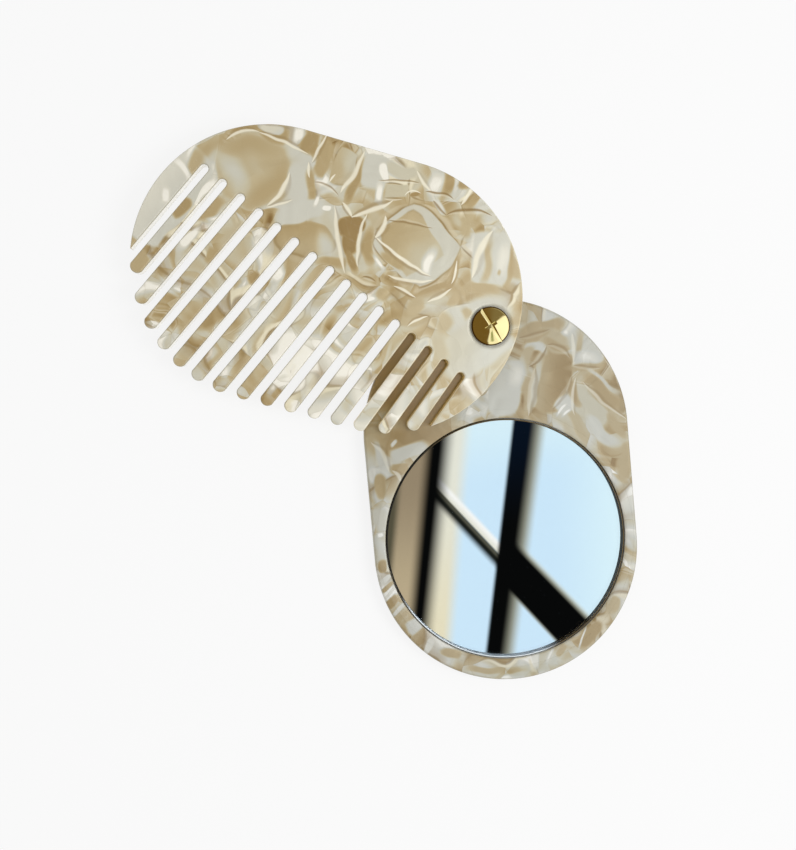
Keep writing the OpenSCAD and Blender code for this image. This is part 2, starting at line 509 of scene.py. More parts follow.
COMB_FLAKES = (
    Flake(-75.0, 38.5, 14.0, 7.5, 50, 0.84, 0.3, tilt=0.12, toward=90),
    Flake(-66.8, 44.6, 3.6, 1.5, 50, 0.34, 0.8),
    Flake(-70.4, 43.4, 3.0, 0.9, -62, 1.0),
    Flake(-67.0, 47.6, 2.6, 0.6, 45, 1.0),
    Flake(-74.7, 37.8, 1.7, 1.0, 70, 1.05, 0.7),
    Flake(-71.8, 34.8, 2.6, 1.8, 30, 0.12, 0.4),
    Flake(-65.2, 34.0, 4.2, 2.2, 45, 0.22, 0.6),
    Flake(-64.6, 31.6, 1.6, 0.5, 15, 1.0),
    Flake(-82.3, 22.6, 3.2, 2.2, 45, 0.3, 0.5),
    Flake(-70.3, 27.6, 3.4, 0.9, 34, 1.05, 0.4),
    Flake(-60.0, 27.4, 3.4, 1.6, 42, 0.48, 0.6),
    Flake(-65.5, 22.5, 2.8, 1.7, 60, 0.22, 0.5),
    Flake(-56.0, 16.8, 2.2, 1.6, 30, 0.1, 0.5),
    Flake(-50.6, 17.0, 2.4, 1.2, 40, 1.0, 0.6),
    Flake(-51.2, 41.0, 11.9, 9.2, -14, 0.70, 0.25, tilt=0.1, square=0.35),
    Flake(-53.6, 41.8, 9.4, 8.6, -14, 0.42, 1.0),
    Flake(-58.6, 42.2, 2.2, 4.4, 14, 0.74, 2.0),
    Flake(-52.0, 43.0, 3.4, 2.4, 20, 0.47, 1.8),
    Flake(-48.6, 44.0, 2.6, 2.2, 20, 0.36, 1.8),
    Flake(-54.0, 48.0, 6.8, 1.9, -8, 0.27, 1.5),
    Flake(-50.4, 38.0, 7.0, 2.2, 36, 0.24, 1.4),
    Flake(-44.0, 38.8, 4.4, 1.9, 62, 0.76, 0.6),
    Flake(-40.9, 37.4, 3.4, 1.1, 80, 0.2, 0.5),
    Flake(-54.2, 52.6, 5.4, 1.1, -4, 0.14, 0.5),
    Flake(-47.6, 50.0, 3.4, 1.7, -26, 0.18, 0.5),
    Flake(-48.7, 51.6, 3.2, 1.0, -28, 0.8, 0.15, rim=0.5, inner=0.9, outer=0.0),
    Flake(-41.9, 49.2, 1.4, 1.9, 0, 1.0, 0.7),
    Flake(-39.4, 47.0, 3.0, 1.9, 64, 0.12, 0.4),
    Flake(-36.8, 43.6, 4.8, 1.9, 62, 0.24, 0.4),
    Flake(-43.6, 31.4, 6.6, 2.6, 14, 0.78, 0.5),
    Flake(-37.0, 32.4, 1.1, 0.6, -15, 1.1, 0.2),
    Flake(-39.7, 34.2, 1.4, 0.5, 80, 1.05, 0.3),
    Flake(-42.6, 24.9, 7.0, 4.4, -6, 0.27, 0.4, tilt=0.12, toward=-90, square=0.2, rim=0.5, outer=0.3),
    Flake(-38.2, 22.6, 1.8, 3.2, -20, 0.74, 1.4),
    Flake(-37.2, 18.6, 3.6, 1.2, -8, 0.2, 0.6),
    Flake(-31.7, 36.0, 3.5, 2.0, 30, 0.66),
    Flake(-31.9, 41.2, 4.6, 2.8, 62, 0.5, 0.2, tilt=0.18, toward=-60, square=0.6,
          rim=0.6, inner=0.3, outer=0.5),
    Flake(-29.4, 37.6, 6.0, 1.0, 57, 0.12, 0.4),
    Flake(-24.6, 39.6, 4.5, 3.2, 75, 0.76, 0.4),
    Flake(-19.0, 39.6, 3.6, 1.9, -20, 0.62, 0.6),
    Flake(-22.7, 38.9, 2.5, 1.3, 100, 1.0, 0.25, square=0.2),
    Flake(-20.3, 34.6, 3.0, 1.7, -4, 0.55, 0.25, square=0.8),
    Flake(-24.3, 34.4, 2.0, 0.9, 88, 1.0, 0.4),
    Flake(-15.8, 33.2, 1.5, 0.45, -4, 0.0, 0.15),
    Flake(-9.9, 35.6, 3.6, 1.8, 78, 0.98, 1.0),
    Flake(-7.2, 35.8, 3.2, 1.0, 80, 0.1, 0.4),
    Flake(-5.7, 35.0, 3.0, 0.6, 84, 0.9, 0.3),
    Flake(-3.6, 35.4, 2.2, 1.6, 60, 0.16, 0.4),
    Flake(-2.0, 30.2, 1.9, 1.5, 40, 0.18, 0.4),
    Flake(-9.7, 29.6, 2.0, 1.0, 110, 0.9, 0.4),
    Flake(-29.2, 22.6, 6.4, 2.0, 88, 0.62, 0.4),
    Flake(-31.4, 27.4, 3.0, 2.4, 0, -0.06, 0.3, square=0.3),
    Flake(-31.8, 23.0, 3.6, 1.8, 92, -0.04, 0.3),
    Flake(-32.1, 18.6, 2.8, 0.9, 92, 0.04, 0.3),
    Flake(-16.4, 20.9, 9.9, 8.8, -50, 0.72, 0.25, square=0.45, rim=0.35, inner=0.1, outer=0.6),
    Flake(-28.0, 21.0, 5.0, 1.3, 84, 0.16, 0.5),
    Flake(-26.2, 16.8, 2.2, 0.6, 112, 1.05, 0.5),
    Flake(-18.0, 21.6, 7.4, 6.2, -62, 0.40, 0.3, tilt=0.22, toward=20, square=0.8,
          rim=0.5, inner=0.1, outer=0.3),
    Flake(-22.6, 17.8, 3.0, 1.3, -42, 0.25, 0.4),
    Flake(-13.9, 17.0, 3.8, 1.3, 78, 1.0, 0.7),
    Flake(-8.4, 13.4, 4.6, 0.7, 66, 0.12, 0.4),
    Flake(-12.8, 10.4, 4.2, 0.7, 16, 0.14, 0.4),
    Flake(-3.4, 24.6, 4.2, 1.7, 82, 0.38, 1.0),
    Flake(1.6, 16.2, 7.4, 5.0, 78, 0.76, 0.6),
    Flake(0.9, 15.2, 5.2, 0.9, 76, 0.38, 0.6),
    Flake(4.4, 15.6, 3.4, 1.3, 76, 0.92, 0.8),
    Flake(3.2, 12.6, 0.5, 0.4, 60, 0.35, 0.3),
    Flake(6.0, 14.6, 4.6, 0.5, 80, 0.2, 0.4),
    Flake(-2.6, 9.2, 6.6, 1.3, -2, 0.28, 0.5),
    Flake(-8.2, 7.0, 2.4, 1.1, 60, 0.3, 0.4),
    Flake(-3.0, 2.8, 9.0, 4.0, 10, 0.74, 1.0),
    Flake(-4.0, -4.4, 10.0, 6.4, 30, 0.72, 1.2, tilt=0.12, toward=-40),
    Flake(-11.5, 1.5, 2.4, 1.8, 40, 0.42, 0.8),
    Flake(-12.6, -4.0, 1.8, 3.4, 20, 0.5, 0.8),
    Flake(-6.0, 3.6, 1.0, 1.4, 30, 0.4, 0.5),
    Flake(-17.8, 6.0, 2.8, 2.2, 20, 0.36, 0.7),
    Flake(-25.9, 9.6, 1.6, 1.7, 60, 0.32, 0.8),
)

COMB_RIDGES = (
    Ridge((-59.6, 49.3), (-51.2, 50.9), 0.8, 1.4),
    Ridge((-51.6, 51.0), (-40.2, 44.6), 0.8, 0.3),
    Ridge((-45.0, 41.0), (-51.4, 33.4), 1.2, 0.9, light=1.0, dark=0.3),
    Ridge((-51.6, 33.2), (-45.0, 34.4), 0.7, -0.3, dark=0.2),
    Ridge((-40.5, 43.0), (-40.3, 39.2), 0.8, -0.2, light=1.0, dark=0.2),
    Ridge((-35.3, 49.2), (-39.8, 42.8), 0.7),
    Ridge((-39.7, 38.0), (-34.0, 34.4), 0.5, 0.5, light=0.4, dark=0.7),
    Ridge((-35.9, 37.8), (-34.4, 39.6), 0.5, light=1.0, dark=0.1),
    Ridge((-33.6, 35.2), (-26.7, 44.6), 1.3, -0.6, dark=0.1),
    Ridge((-35.1, 32.0), (-34.2, 15.8), 1.1, -0.5, dark=0.3),
    Ridge((-27.4, 29.6), (-30.9, 17.0), 1.0, -1.0, dark=0.3),
    Ridge((-33.2, 32.8), (-31.0, 29.0), 0.9, 0.2, dark=0.5, side=-1.0),
    Ridge((-31.4, 29.2), (-21.0, 32.2), 1.1, -0.4, dark=0.5),
    Ridge((-24.2, 37.4), (-14.2, 35.9), 0.5, -0.3, light=0.5, dark=0.8),
    Ridge((-23.4, 32.8), (-18.8, 32.2), 0.5, -0.2, light=0.5, dark=0.6),
    Ridge((-18.4, 32.8), (-14.0, 33.2), 0.5, 1.0, light=1.0, dark=0.0),
    Ridge((-14.7, 39.0), (-11.3, 33.4), 0.8, -0.5, dark=0.2),
    Ridge((-13.2, 33.6), (-6.2, 31.2), 0.6, 0.2, light=0.3, dark=0.9),
    Ridge((-1.2, 34.4), (-4.6, 29.8), 1.0, 0.2, dark=0.3),
    Ridge((-11.3, 31.6), (-8.6, 27.6), 0.8, -0.8, light=0.1, dark=0.8),
    Ridge((-8.8, 27.6), (2.6, 26.4), 0.8, 0.9, light=0.2, dark=0.9),
    Ridge((-26.2, 24.2), (-13.4, 13.2), 0.9, -0.6, light=1.0, dark=0.5, side=-1.0),
    Ridge((-26.2, 23.6), (-23.2, 28.8), 1.2, -0.8, dark=0.3, side=-1.0),
    Ridge((-23.2, 27.6), (-12.0, 24.8), 0.6, 0.8, light=0.2, dark=0.8, side=-1.0),
    Ridge((-24.0, 14.6), (-13.0, 12.4), 0.9, -0.9, dark=0.3, side=-1.0),
    Ridge((-6.9, 16.4), (-8.8, 11.0), 0.7, 0.4, light=1.0, dark=0.2),
    Ridge((-15.2, 7.2), (-8.8, 9.8), 0.8, -0.4, dark=0.4),
    Ridge((2.6, 23.2), (-3.6, 12.0), 1.7, -0.9, dark=0.2),
    Ridge((-22.8, 11.6), (-17.6, 8.4), 0.7, 0.4, dark=0.6, side=-1.0),
    Ridge((-30.4, 14.2), (-27.0, 13.0), 0.5, 0.3, light=0.2, dark=0.9),
    Ridge((-20.4, 1.6), (-15.0, 3.6), 0.6, 0.5, dark=0.5),
)

MIRROR_FLAKES = (
    # The first two flakes are painted shade: dark brown tone where the comb lies over the plate at rest,
    # under its slots and below its teeth.
    Flake(-21.0, -25.5, 11.0, 4.0, 0, 0.02, 2.5),
    Flake(-17.6, -11.0, 13.0, 12.0, 53, 0.10, 2.5, square=0.6),
    Flake(3.2, -16.6, 6.6, 4.4, 80, 0.76),
    Flake(14.6, -14.4, 8.9, 5.0, 68, 0.16, 0.3, tilt=0.25, toward=110, square=0.6),
    Flake(13.6, -1.8, 6.8, 2.0, 8, 0.24, 0.5),
    Flake(16.6, -4.6, 4.4, 2.6, -14, 0.44, 0.6),
    Flake(12.2, -3.9, 3.6, 1.2, 24, 0.24, 0.4),
    Flake(11.8, -6.4, 2.6, 1.3, -20, 0.8, 0.5),
    Flake(9.6, -8.6, 3.2, 1.4, 60, 0.4, 0.4),
    Flake(6.9, -11.8, 3.4, 1.7, 80, 0.93, 1.3),
    Flake(8.6, -18.0, 5.6, 0.9, 82, 0.3, 0.4),
    Flake(10.6, -15.6, 6.6, 0.8, 70, 0.66, 0.4),
    Flake(17.0, -5.6, 3.2, 1.0, -12, 0.22, 0.4),
    Flake(24.8, -7.2, 5.6, 2.6, -40, 0.72, 0.6),
    Flake(22.4, -6.6, 3.2, 0.9, 82, 0.42, 0.5),
    Flake(24.0, -9.6, 2.8, 1.2, -10, 0.94, 1.0),
    Flake(24.2, -11.9, 4.6, 0.9, 2, 0.26, 0.4),
    Flake(27.4, -15.4, 5.0, 0.7, -44, 0.72, 0.4),
    Flake(27.6, -18.6, 6.6, 1.6, -48, 0.16, 0.5),
    Flake(23.8, -22.4, 6.4, 3.4, -46, 0.6, 0.5),
    Flake(20.2, -18.0, 3.4, 1.1, -66, 0.22, 0.4),
    Flake(17.6, -20.6, 3.0, 2.0, 40, 0.8, 0.5),
    Flake(16.6, -22.0, 2.0, 0.25, 40, 1.1, 0.15),
    Flake(17.6, -22.7, 1.4, 0.2, 36, 1.1, 0.15),
    Flake(26.0, -28.8, 5.6, 1.8, -44, 0.76, 0.5),
    Flake(30.6, -27.4, 3.4, 1.2, -60, 0.3, 0.5),
    Flake(31.6, -36.6, 4.6, 1.8, 80, 0.3, 0.6),
    Flake(-25.2, -28.2, 3.4, 2.4, -18, 0.1, 0.4),
    Flake(-22.6, -28.9, 5.0, 2.0, 14, 0.74, 0.4),
    Flake(-25.9, -26.6, 1.1, 0.5, 50, 0.9, 0.2),
    Flake(-29.6, -30.2, 4.4, 0.9, -72, 0.74, 0.4),
    Flake(-25.2, -33.4, 2.6, 1.6, -10, 0.2, 0.4),
    Flake(-31.6, -34.2, 2.4, 1.2, 88, 0.9, 0.4),
    Flake(-30.2, -37.0, 2.6, 1.6, 70, 0.22, 0.4),
    Flake(-31.0, -44.6, 3.2, 1.5, 80, 0.7, 0.5),
    Flake(-32.0, -48.6, 1.0, 0.5, 10, 1.05, 0.3),
    Flake(-31.6, -56.4, 1.3, 1.4, 0, 0.12, 0.3),
    Flake(-31.0, -59.6, 1.9, 0.7, 40, 0.86, 0.2),
    Flake(-30.6, -61.8, 1.9, 0.7, 36, 0.24, 0.2),
    Flake(-29.8, -63.4, 2.0, 0.6, 40, 0.92, 0.2),
    Flake(-29.6, -65.8, 2.0, 1.2, 34, 0.1, 0.3),
    Flake(-28.4, -68.2, 2.2, 0.6, 42, 0.9, 0.2),
    Flake(-27.4, -70.0, 2.2, 0.7, 40, 0.3, 0.2),
    Flake(-25.0, -72.6, 2.6, 1.6, 20, 0.8, 0.4),
    Flake(-22.0, -78.0, 2.6, 0.8, 56, 0.9, 0.3),
    Flake(-16.8, -80.4, 3.2, 1.4, -30, 0.24, 0.4),
    Flake(-8.0, -85.6, 5.4, 1.0, -8, 0.3, 0.4),
    Flake(4.6, -84.6, 2.0, 1.0, 80, 0.92, 0.4),
    Flake(8.6, -84.0, 2.2, 0.5, 70, 0.95, 0.3),
    Flake(12.0, -82.4, 2.0, 1.0, 60, 0.32, 0.3),
    Flake(19.4, -79.4, 4.2, 2.2, 40, 0.1, 0.5),
    Flake(16.8, -80.2, 2.4, 0.25, 76, 0.95, 0.15),
    Flake(25.6, -72.6, 2.6, 1.6, 60, 0.34, 0.6),
)

MIRROR_RIDGES = (
    Ridge((14.0, 3.6), (20.4, 0.6), 0.8, 0.3, dark=0.1),
    Ridge((7.4, -3.6), (15.4, -2.0), 0.8, -0.5, light=0.1, dark=0.5),
    Ridge((14.2, -6.0), (9.4, -10.6), 0.8, 0.3, light=0.2, dark=0.7),
    Ridge((14.2, -6.0), (20.0, -9.4), 0.8, 0.9, light=0.2, dark=0.5),
    Ridge((20.8, -3.4), (20.6, -10.6), 1.0, 0.3, light=0.6, dark=0.1),
    Ridge((11.0, -11.2), (8.2, -23.0), 1.4, -0.4, light=0.4),
    Ridge((20.0, -13.8), (14.2, -21.6), 0.9, 0.4, light=0.2),
    Ridge((21.2, -14.4), (19.8, -23.8), 0.9, -0.9, light=0.6, dark=0.3),
    Ridge((22.6, -15.6), (33.0, -26.0), 0.8, -0.6, light=0.5),
    Ridge((20.4, -11.4), (27.4, -12.4), 0.8, -0.6, light=0.2, dark=0.5),
    Ridge((28.6, -10.6), (31.6, -17.4), 0.6, 0.6, light=0.4, dark=0.5),
    Ridge((-31.6, -25.6), (-27.6, -34.0), 1.1, 0.9, light=0.5, dark=0.3),
    Ridge((-27.0, -33.4), (-25.0, -36.4), 1.1, 0.4, light=0.6, dark=0.3),
)


PEARL_TONES = (
    (0.0, srgb(128, 98, 50)),
    (0.12, srgb(132, 101, 54)),
    (0.3, srgb(161, 136, 89)),
    (0.44, srgb(182, 161, 118)),
    (0.6, srgb(194, 179, 143)),
    (0.7, srgb(202, 195, 169)),
    (0.84, srgb(208, 207, 194)),
    (0.94, srgb(224, 221, 206)),
    (1.0, srgb(247, 244, 232)),
)


@dataclass(frozen=True)
class PearlAcetate:
    """Pearl acetate: crumpled satin flakes with creased rims, under a polished face.

    Its lengths are in millimetres. shade_way points, in plan, out of the part that lies over the other
    plate, which begins at shade_from along it. A plate without a shade_way has no such part.
    """

    name: str
    shift: tuple[float, float, float]
    flakes: tuple[Flake, ...]
    ridges: tuple[Ridge, ...]
    tint: tuple[float, float, float] = (1.0, 1.0, 1.0)
    shade_way: tuple[float, ...] = ()
    shade_from: float = -17.6
    shade_soft: float = 2.5
    glow: tuple[float, float, float] = (0.34, 0.24, 0.05)
    glow_top: float = 7.0
    glow_full: float = 4.8
    seat_edge: tuple[float, float] = (6.6, 6.0)
    wall_light_share: float = 0.85
    relief: float = 0.6
    roughness: float = 0.34
    satin: float = 0.15

    def material(self) -> bpy.types.Material:
        """Builds the material."""
        sheet = PearlSheet(self)
        sheet.scatter_flakes()
        sheet.lay_flakes()
        sheet.paint_rims()
        sheet.paint_threads()
        sheet.draw_ridges()
        return sheet.finish(*sheet.paint_cuts())


class PearlSheet:
    """Adds the nodes of one sheet of pearl acetate, layer by layer. Its places are in millimetres.

    The nodes are added in the order in which they read each other, which keeps the renderer's stack small.
    What the layers hand on is the tone, the distance to the nearest border, how creased that border's rim is
    and whether it is lit, how calm the place is (1 where no listed flake lies), and the colour.
    """

    large: Socket
    middle: Socket
    middle_border: Socket
    small_border: Socket
    busy: Socket
    creased: Socket
    tone: Socket
    border: Socket
    rim: Socket
    lit: Socket
    calm: Socket
    colour: Socket

    def __init__(self, look: PearlAcetate) -> None:
        """Starts the nodes of a sheet with its place on the plate, and its place in the draw of flakes."""
        self.look = look
        self.wiring = Wiring(look.name)
        self.true_place = self.wiring.scaled(self.wiring.add("TexCoord").outputs["Object"], 1.0 / MM)
        self.place = self.wiring.vector("ADD", self.true_place, look.shift)

    def drift(self, place: object, scale: float, amount: float, seed: float) -> Socket:
        """Makes a slow uneven drift in millimetres, which bends the flakes."""
        start = self.wiring.vector("ADD", place, (seed, 2 * seed, 3 * seed))
        noise = self.wiring.add("TexNoise", {"Vector": start, "Scale": scale, "Detail": 0.0})
        centred = self.wiring.vector("SUBTRACT", noise.outputs["Color"], (0.5, 0.5, 0.5))
        return self.wiring.scaled(centred, amount)

    def folds(self, along: object, seed: object, amount: float) -> Socket:
        """Makes parallel folds, light and dark, along one direction."""
        step = self.wiring.math("MULTIPLY_ADD", seed, 37.0, along)
        noise = self.wiring.add("TexNoise", {"W": step, "Scale": 1.0, "Detail": 0.6, "Roughness": 0.4},
                                noise_dimensions="1D")
        return self.wiring.band(noise.outputs["Fac"], 0.3, 0.7, -amount / 2, amount / 2)

    def crumple(self, place: object, scale: float, soft: float,
                seed: float) -> tuple[Socket, Socket, Socket]:
        """Makes flakes of one size, each light on one side and dark on the other, with folds of its own.

        Args:
            place: Where it reads, in millimetres.
            scale: Flakes per millimetre.
            soft: How soft the middle of a flake is.
            seed: Moves the flakes to another draw.

        Returns:
            The tone about zero, the distance to the flake's border in millimetres, and the flake's number.
        """
        wiring = self.wiring
        start = wiring.vector("ADD", place, (seed, 0.4 * seed, 0.1 * seed))
        cells = wiring.add("TexVoronoi", {"Vector": start, "Scale": scale}, feature="F1")
        border = wiring.add("TexVoronoi", {"Vector": start, "Scale": scale}, feature="DISTANCE_TO_EDGE")
        number = wiring.add("SeparateColor", {"Color": cells.outputs["Color"]})
        inside = wiring.scaled(wiring.vector("SUBTRACT", start, cells.outputs["Position"]), scale)
        light = wiring.vector("SUBTRACT", cells.outputs["Color"], (0.5, 0.5, 0.5))
        length = wiring.math("ADD", wiring.vector("LENGTH", inside), soft)
        tone = wiring.math("DIVIDE", wiring.vector("DOT_PRODUCT", inside, light), length)
        along = wiring.vector("DOT_PRODUCT", inside, wiring.scaled(wiring.vector("NORMALIZE", light), 3.0))
        tone = wiring.math("ADD", tone, self.folds(along, number.outputs[1], 0.5))
        return tone, wiring.math("DIVIDE", border.outputs["Distance"], scale), number.outputs[0]

    def flake_group(self) -> bpy.types.NodeTree:
        """Builds the group that lays one flake over the rest: its tone, how bare it is, and its rim."""
        wiring, given, result = Wiring.group(
            "pearl_flake",
            {"Place": "Vector", "Before": "Vector", "Own": "Vector", "Along": "Vector", "Across": "Vector",
             "Start": "Float", "Side": "Float", "Lean": "Vector", "Square": "Float", "Outside": "Float",
             "Inside": "Float"},
            {"After": "Vector", "Reach": "Float", "Within": "Float"})
        place = given["Place"]
        along = wiring.math("SUBTRACT", wiring.vector("DOT_PRODUCT", place, given["Along"]), given["Start"])
        across = wiring.math("SUBTRACT", wiring.vector("DOT_PRODUCT", place, given["Across"]), given["Side"])
        spot = wiring.add("CombineXYZ", {0: along, 1: across}).outputs[0]
        oval = wiring.vector("LENGTH", spot)
        box = wiring.math("MAXIMUM", wiring.math("ABSOLUTE", along), wiring.math("ABSOLUTE", across))
        box = wiring.times(box, 1.12)
        reach = wiring.blend(given["Square"], oval, box)
        within = wiring.band(reach, given["Outside"], given["Inside"])
        light = wiring.math("DIVIDE", wiring.vector("DOT_PRODUCT", spot, given["Lean"]),
                            wiring.math("ADD", oval, 0.35))
        light = wiring.add("CombineXYZ", {0: light}).outputs[0]
        after = wiring.lay(within, given["Before"], wiring.vector("ADD", given["Own"], light))
        wiring.feed(result["After"], after)
        wiring.feed(result["Reach"], reach)
        wiring.feed(result["Within"], within)
        return wiring.tree

    def ridge_group(self) -> bpy.types.NodeTree:
        """Builds the group that draws one bent ridge over the others: its share of light and of dark."""
        wiring, given, result = Wiring.group(
            "pearl_ridge",
            {"Place": "Vector", "Before": "Vector", "Centre": "Vector", "Radius": "Float",
             "Middle": "Vector", "Reach": "Float", "Half Width": "Float", "Light": "Float",
             "Dark": "Float", "Side": "Float"},
            {"After": "Vector"})
        place = given["Place"]
        offset = wiring.math("SUBTRACT", wiring.vector("DISTANCE", place, given["Centre"]), given["Radius"])
        from_middle = wiring.vector("DISTANCE", place, given["Middle"])
        taper = wiring.band(from_middle, 0.0, given["Reach"], 1.0, 1e-6)
        width = wiring.times(wiring.math("POWER", taper, 0.35), given["Half Width"])
        offset = wiring.math("DIVIDE", offset, width)
        beside = wiring.math("ABSOLUTE", wiring.math("SUBTRACT", offset, given["Side"]))
        groove = wiring.band(beside, 1.4, 0.1, 0.0, given["Dark"])
        shares = wiring.lay(groove, given["Before"], (0.0, 1.0, 0.0))
        crest = wiring.band(wiring.math("ABSOLUTE", offset), 1.1, 0.3, 0.0, given["Light"])
        wiring.feed(result["After"], wiring.lay(crest, shares, (1.0, 0.0, 0.0)))
        return wiring.tree

    def scatter_flakes(self) -> None:
        """Draws the flakes of chance in three sizes, with small ones in patches."""
        wiring = self.wiring
        slow = self.drift(self.place, 0.045, 26.0, 0.0)
        quick = self.drift(self.place, 0.13, 6.0, 10.0)
        bent = wiring.vector("ADD", wiring.vector("ADD", self.place, slow), quick)
        self.large, self.border, number = self.crumple(bent, 0.05, 0.2, 0.0)
        self.middle, self.middle_border, _ = self.crumple(bent, 0.095, 0.1, 50.0)
        small, self.small_border, _ = self.crumple(wiring.vector("ADD", self.place, quick), 0.18, 0.1, 70.0)
        self.busy = wiring.patches(self.place, (3.0, 90.0, 12.0), 0.06)
        self.creased = wiring.patches(bent, (13.0, 60.0, 2.0), 0.1)
        tone = wiring.math("MULTIPLY_ADD", self.large, 0.8, 0.6)
        tone = wiring.math("MULTIPLY_ADD", self.middle, 0.35, tone)
        self.tone = wiring.math("MULTIPLY_ADD", small, wiring.band(self.busy, 0.5, 0.6, 0.0, 0.6), tone)
        self.rim = wiring.band(self.creased, 0.4, 0.62)
        self.lit = wiring.band(number, 0.35, 0.65)

    def lay_flakes(self) -> None:
        """Lays the listed flakes over the flakes of chance, each over the ones before it."""
        wiring = self.wiring
        comes = wiring.band(wiring.patches(self.true_place, (5.0, 5.0, 70.0), 0.12), 0.42, 0.56)
        uneven = wiring.vector("ADD", self.true_place, self.drift(self.true_place, 0.16, 3.2, 0.0))
        group = self.flake_group()
        state = (0.0, 1.0, 0.0)
        for flake in self.look.flakes:
            laid = wiring.use(group, {"Place": uneven, "Before": state, **flake.inputs()})
            state = laid["After"]
            if flake.rim:
                self.crease_around(flake, laid["Reach"], laid["Within"])
        own_tone, self.calm, own_rim = wiring.add("SeparateXYZ", {0: state}).outputs
        tone = wiring.math("MULTIPLY_ADD", self.tone, self.calm, own_tone)
        self.rim = wiring.math("MULTIPLY_ADD", self.rim, self.calm, wiring.times(own_rim, comes))
        self.tone = wiring.math("MULTIPLY_ADD", tone, 0.7, 0.3)

    def crease_around(self, flake: Flake, reach: object, within: object) -> None:
        """Gives a listed flake a creased rim, lit from outside or from inside.

        Args:
            flake: The flake.
            reach: How far out the place is, 1 at the flake's border.
            within: How much of the flake is at the place.
        """
        wiring = self.wiring
        depth = wiring.times(wiring.math("SUBTRACT", 1.0, reach), flake.least())
        nearer = wiring.math("MINIMUM", self.border, wiring.math("ABSOLUTE", depth))
        self.border = wiring.blend(within, nearer, depth)
        beside = wiring.band(wiring.math("ABSOLUTE", depth), 3.5, 1.5)
        self.lit = wiring.blend(beside, self.lit, wiring.blend(within, flake.outer, flake.inner))

    def paint_rims(self) -> None:
        """Colours the sheet by its tone, and paints the ridge, the crease and the shade of each border."""
        wiring, rim = self.wiring, self.rim
        colour = wiring.ramp(self.tone, PEARL_TONES)
        edge = wiring.math("DIVIDE", self.border, wiring.math("MULTIPLY_ADD", rim, 1.2, 0.25))
        ridge = wiring.times(wiring.band(edge, 0.12, 0.3), wiring.band(edge, 1.5, 0.8))
        ridge = wiring.times(ridge, wiring.times(rim, self.lit))
        colour = wiring.mix(ridge, colour, srgb(232, 224, 196))
        crease = wiring.band(edge, 0.5, 0.1)
        crease = wiring.times(crease, wiring.math("MULTIPLY_ADD", rim, 0.5, wiring.times(self.calm, 0.15)))
        colour = wiring.mix(crease, colour, srgb(140, 116, 70))
        shade = wiring.times(wiring.band(edge, 2.4, 0.2), wiring.math("SUBTRACT", 1.0, self.lit))
        shade = wiring.times(shade, wiring.times(rim, 0.5))
        self.colour = wiring.mix(shade, colour, srgb(160, 134, 86))

    def paint_threads(self) -> None:
        """Paints the pale threads and dark hairs between the smaller flakes."""
        wiring = self.wiring
        apart = wiring.band(self.busy, 0.47, 0.53, 3.0, 0.0)
        fine = wiring.math("MINIMUM", self.middle_border, wiring.math("ADD", self.small_border, apart))
        thread = wiring.times(wiring.band(fine, 0.1, 0.25), wiring.band(fine, 0.9, 0.35))
        smooth = wiring.band(self.creased, 0.45, 0.3, 0.0, 0.3)
        thread = wiring.times(thread, wiring.times(self.calm, smooth))
        colour = wiring.mix(thread, self.colour, srgb(236, 230, 206))
        hair = wiring.times(wiring.band(fine, 0.3, 0.04), wiring.times(self.calm, 0.07))
        self.colour = wiring.mix(hair, colour, srgb(146, 122, 76))

    def draw_ridges(self) -> None:
        """Draws the listed ridges, each over the ones before it, and tints the whole sheet."""
        wiring = self.wiring
        wavy = wiring.vector("ADD", self.true_place, self.drift(self.true_place, 0.3, 0.8, 30.0))
        wavy = wiring.vector("MULTIPLY", wavy, (1.0, 1.0, 0.0))
        group = self.ridge_group()
        shares = (0.0, 0.0, 0.0)
        for ridge in self.look.ridges:
            shares = wiring.use(group, {"Place": wavy, "Before": shares, **ridge.inputs()})["After"]
        light, dark, _ = wiring.add("SeparateXYZ", {0: shares}).outputs
        dark = wiring.math("DIVIDE", dark, wiring.math("SUBTRACT", 1.001, light))
        colour = wiring.mix(dark, self.colour, srgb(146, 120, 74))
        colour = wiring.mix(light, colour, srgb(240, 234, 212))
        self.colour = wiring.mix(1.0, colour, self.look.tint, "MULTIPLY")

    def shade(self, flat: object) -> object:
        """Says how far a wall of the plate stands over the other plate, from 0 to 1."""
        look = self.look
        if not look.shade_way:
            return 0.0
        beside = self.wiring.vector("DOT_PRODUCT", flat, (*look.shade_way, 0.0))
        return self.wiring.band(beside, look.shade_from - look.shade_soft, look.shade_from + look.shade_soft)

    def paint_cuts(self) -> tuple[Socket, object]:
        """Paints a painted shade line on the rounded edges, which turns into a pale painted highlight where
        the plate lies over the other plate, and paints the walls of what is cut out of the plate near white,
        cream over the other plate, as painted light that runs through the acetate.

        Returns:
            How much the place is a cut wall painted with light, and how far it stands over the other plate.
        """
        wiring = self.wiring
        facing = wiring.add("SeparateXYZ", {0: wiring.add("TexCoord").outputs["Normal"]}).outputs[2]
        facing = wiring.math("ABSOLUTE", facing)
        flat = wiring.vector("MULTIPLY", self.true_place, (1.0, 1.0, 0.0))
        seat = wiring.band(wiring.vector("LENGTH", flat), *self.look.seat_edge)
        facing = wiring.math("MAXIMUM", facing, seat)
        shaded = self.shade(flat)
        # Painted shade and highlight: a dark line on the rounded edges, a pale line where the plate lies
        # over the other plate.
        line = wiring.mix(shaded, srgb(122, 112, 86), srgb(214, 206, 180))
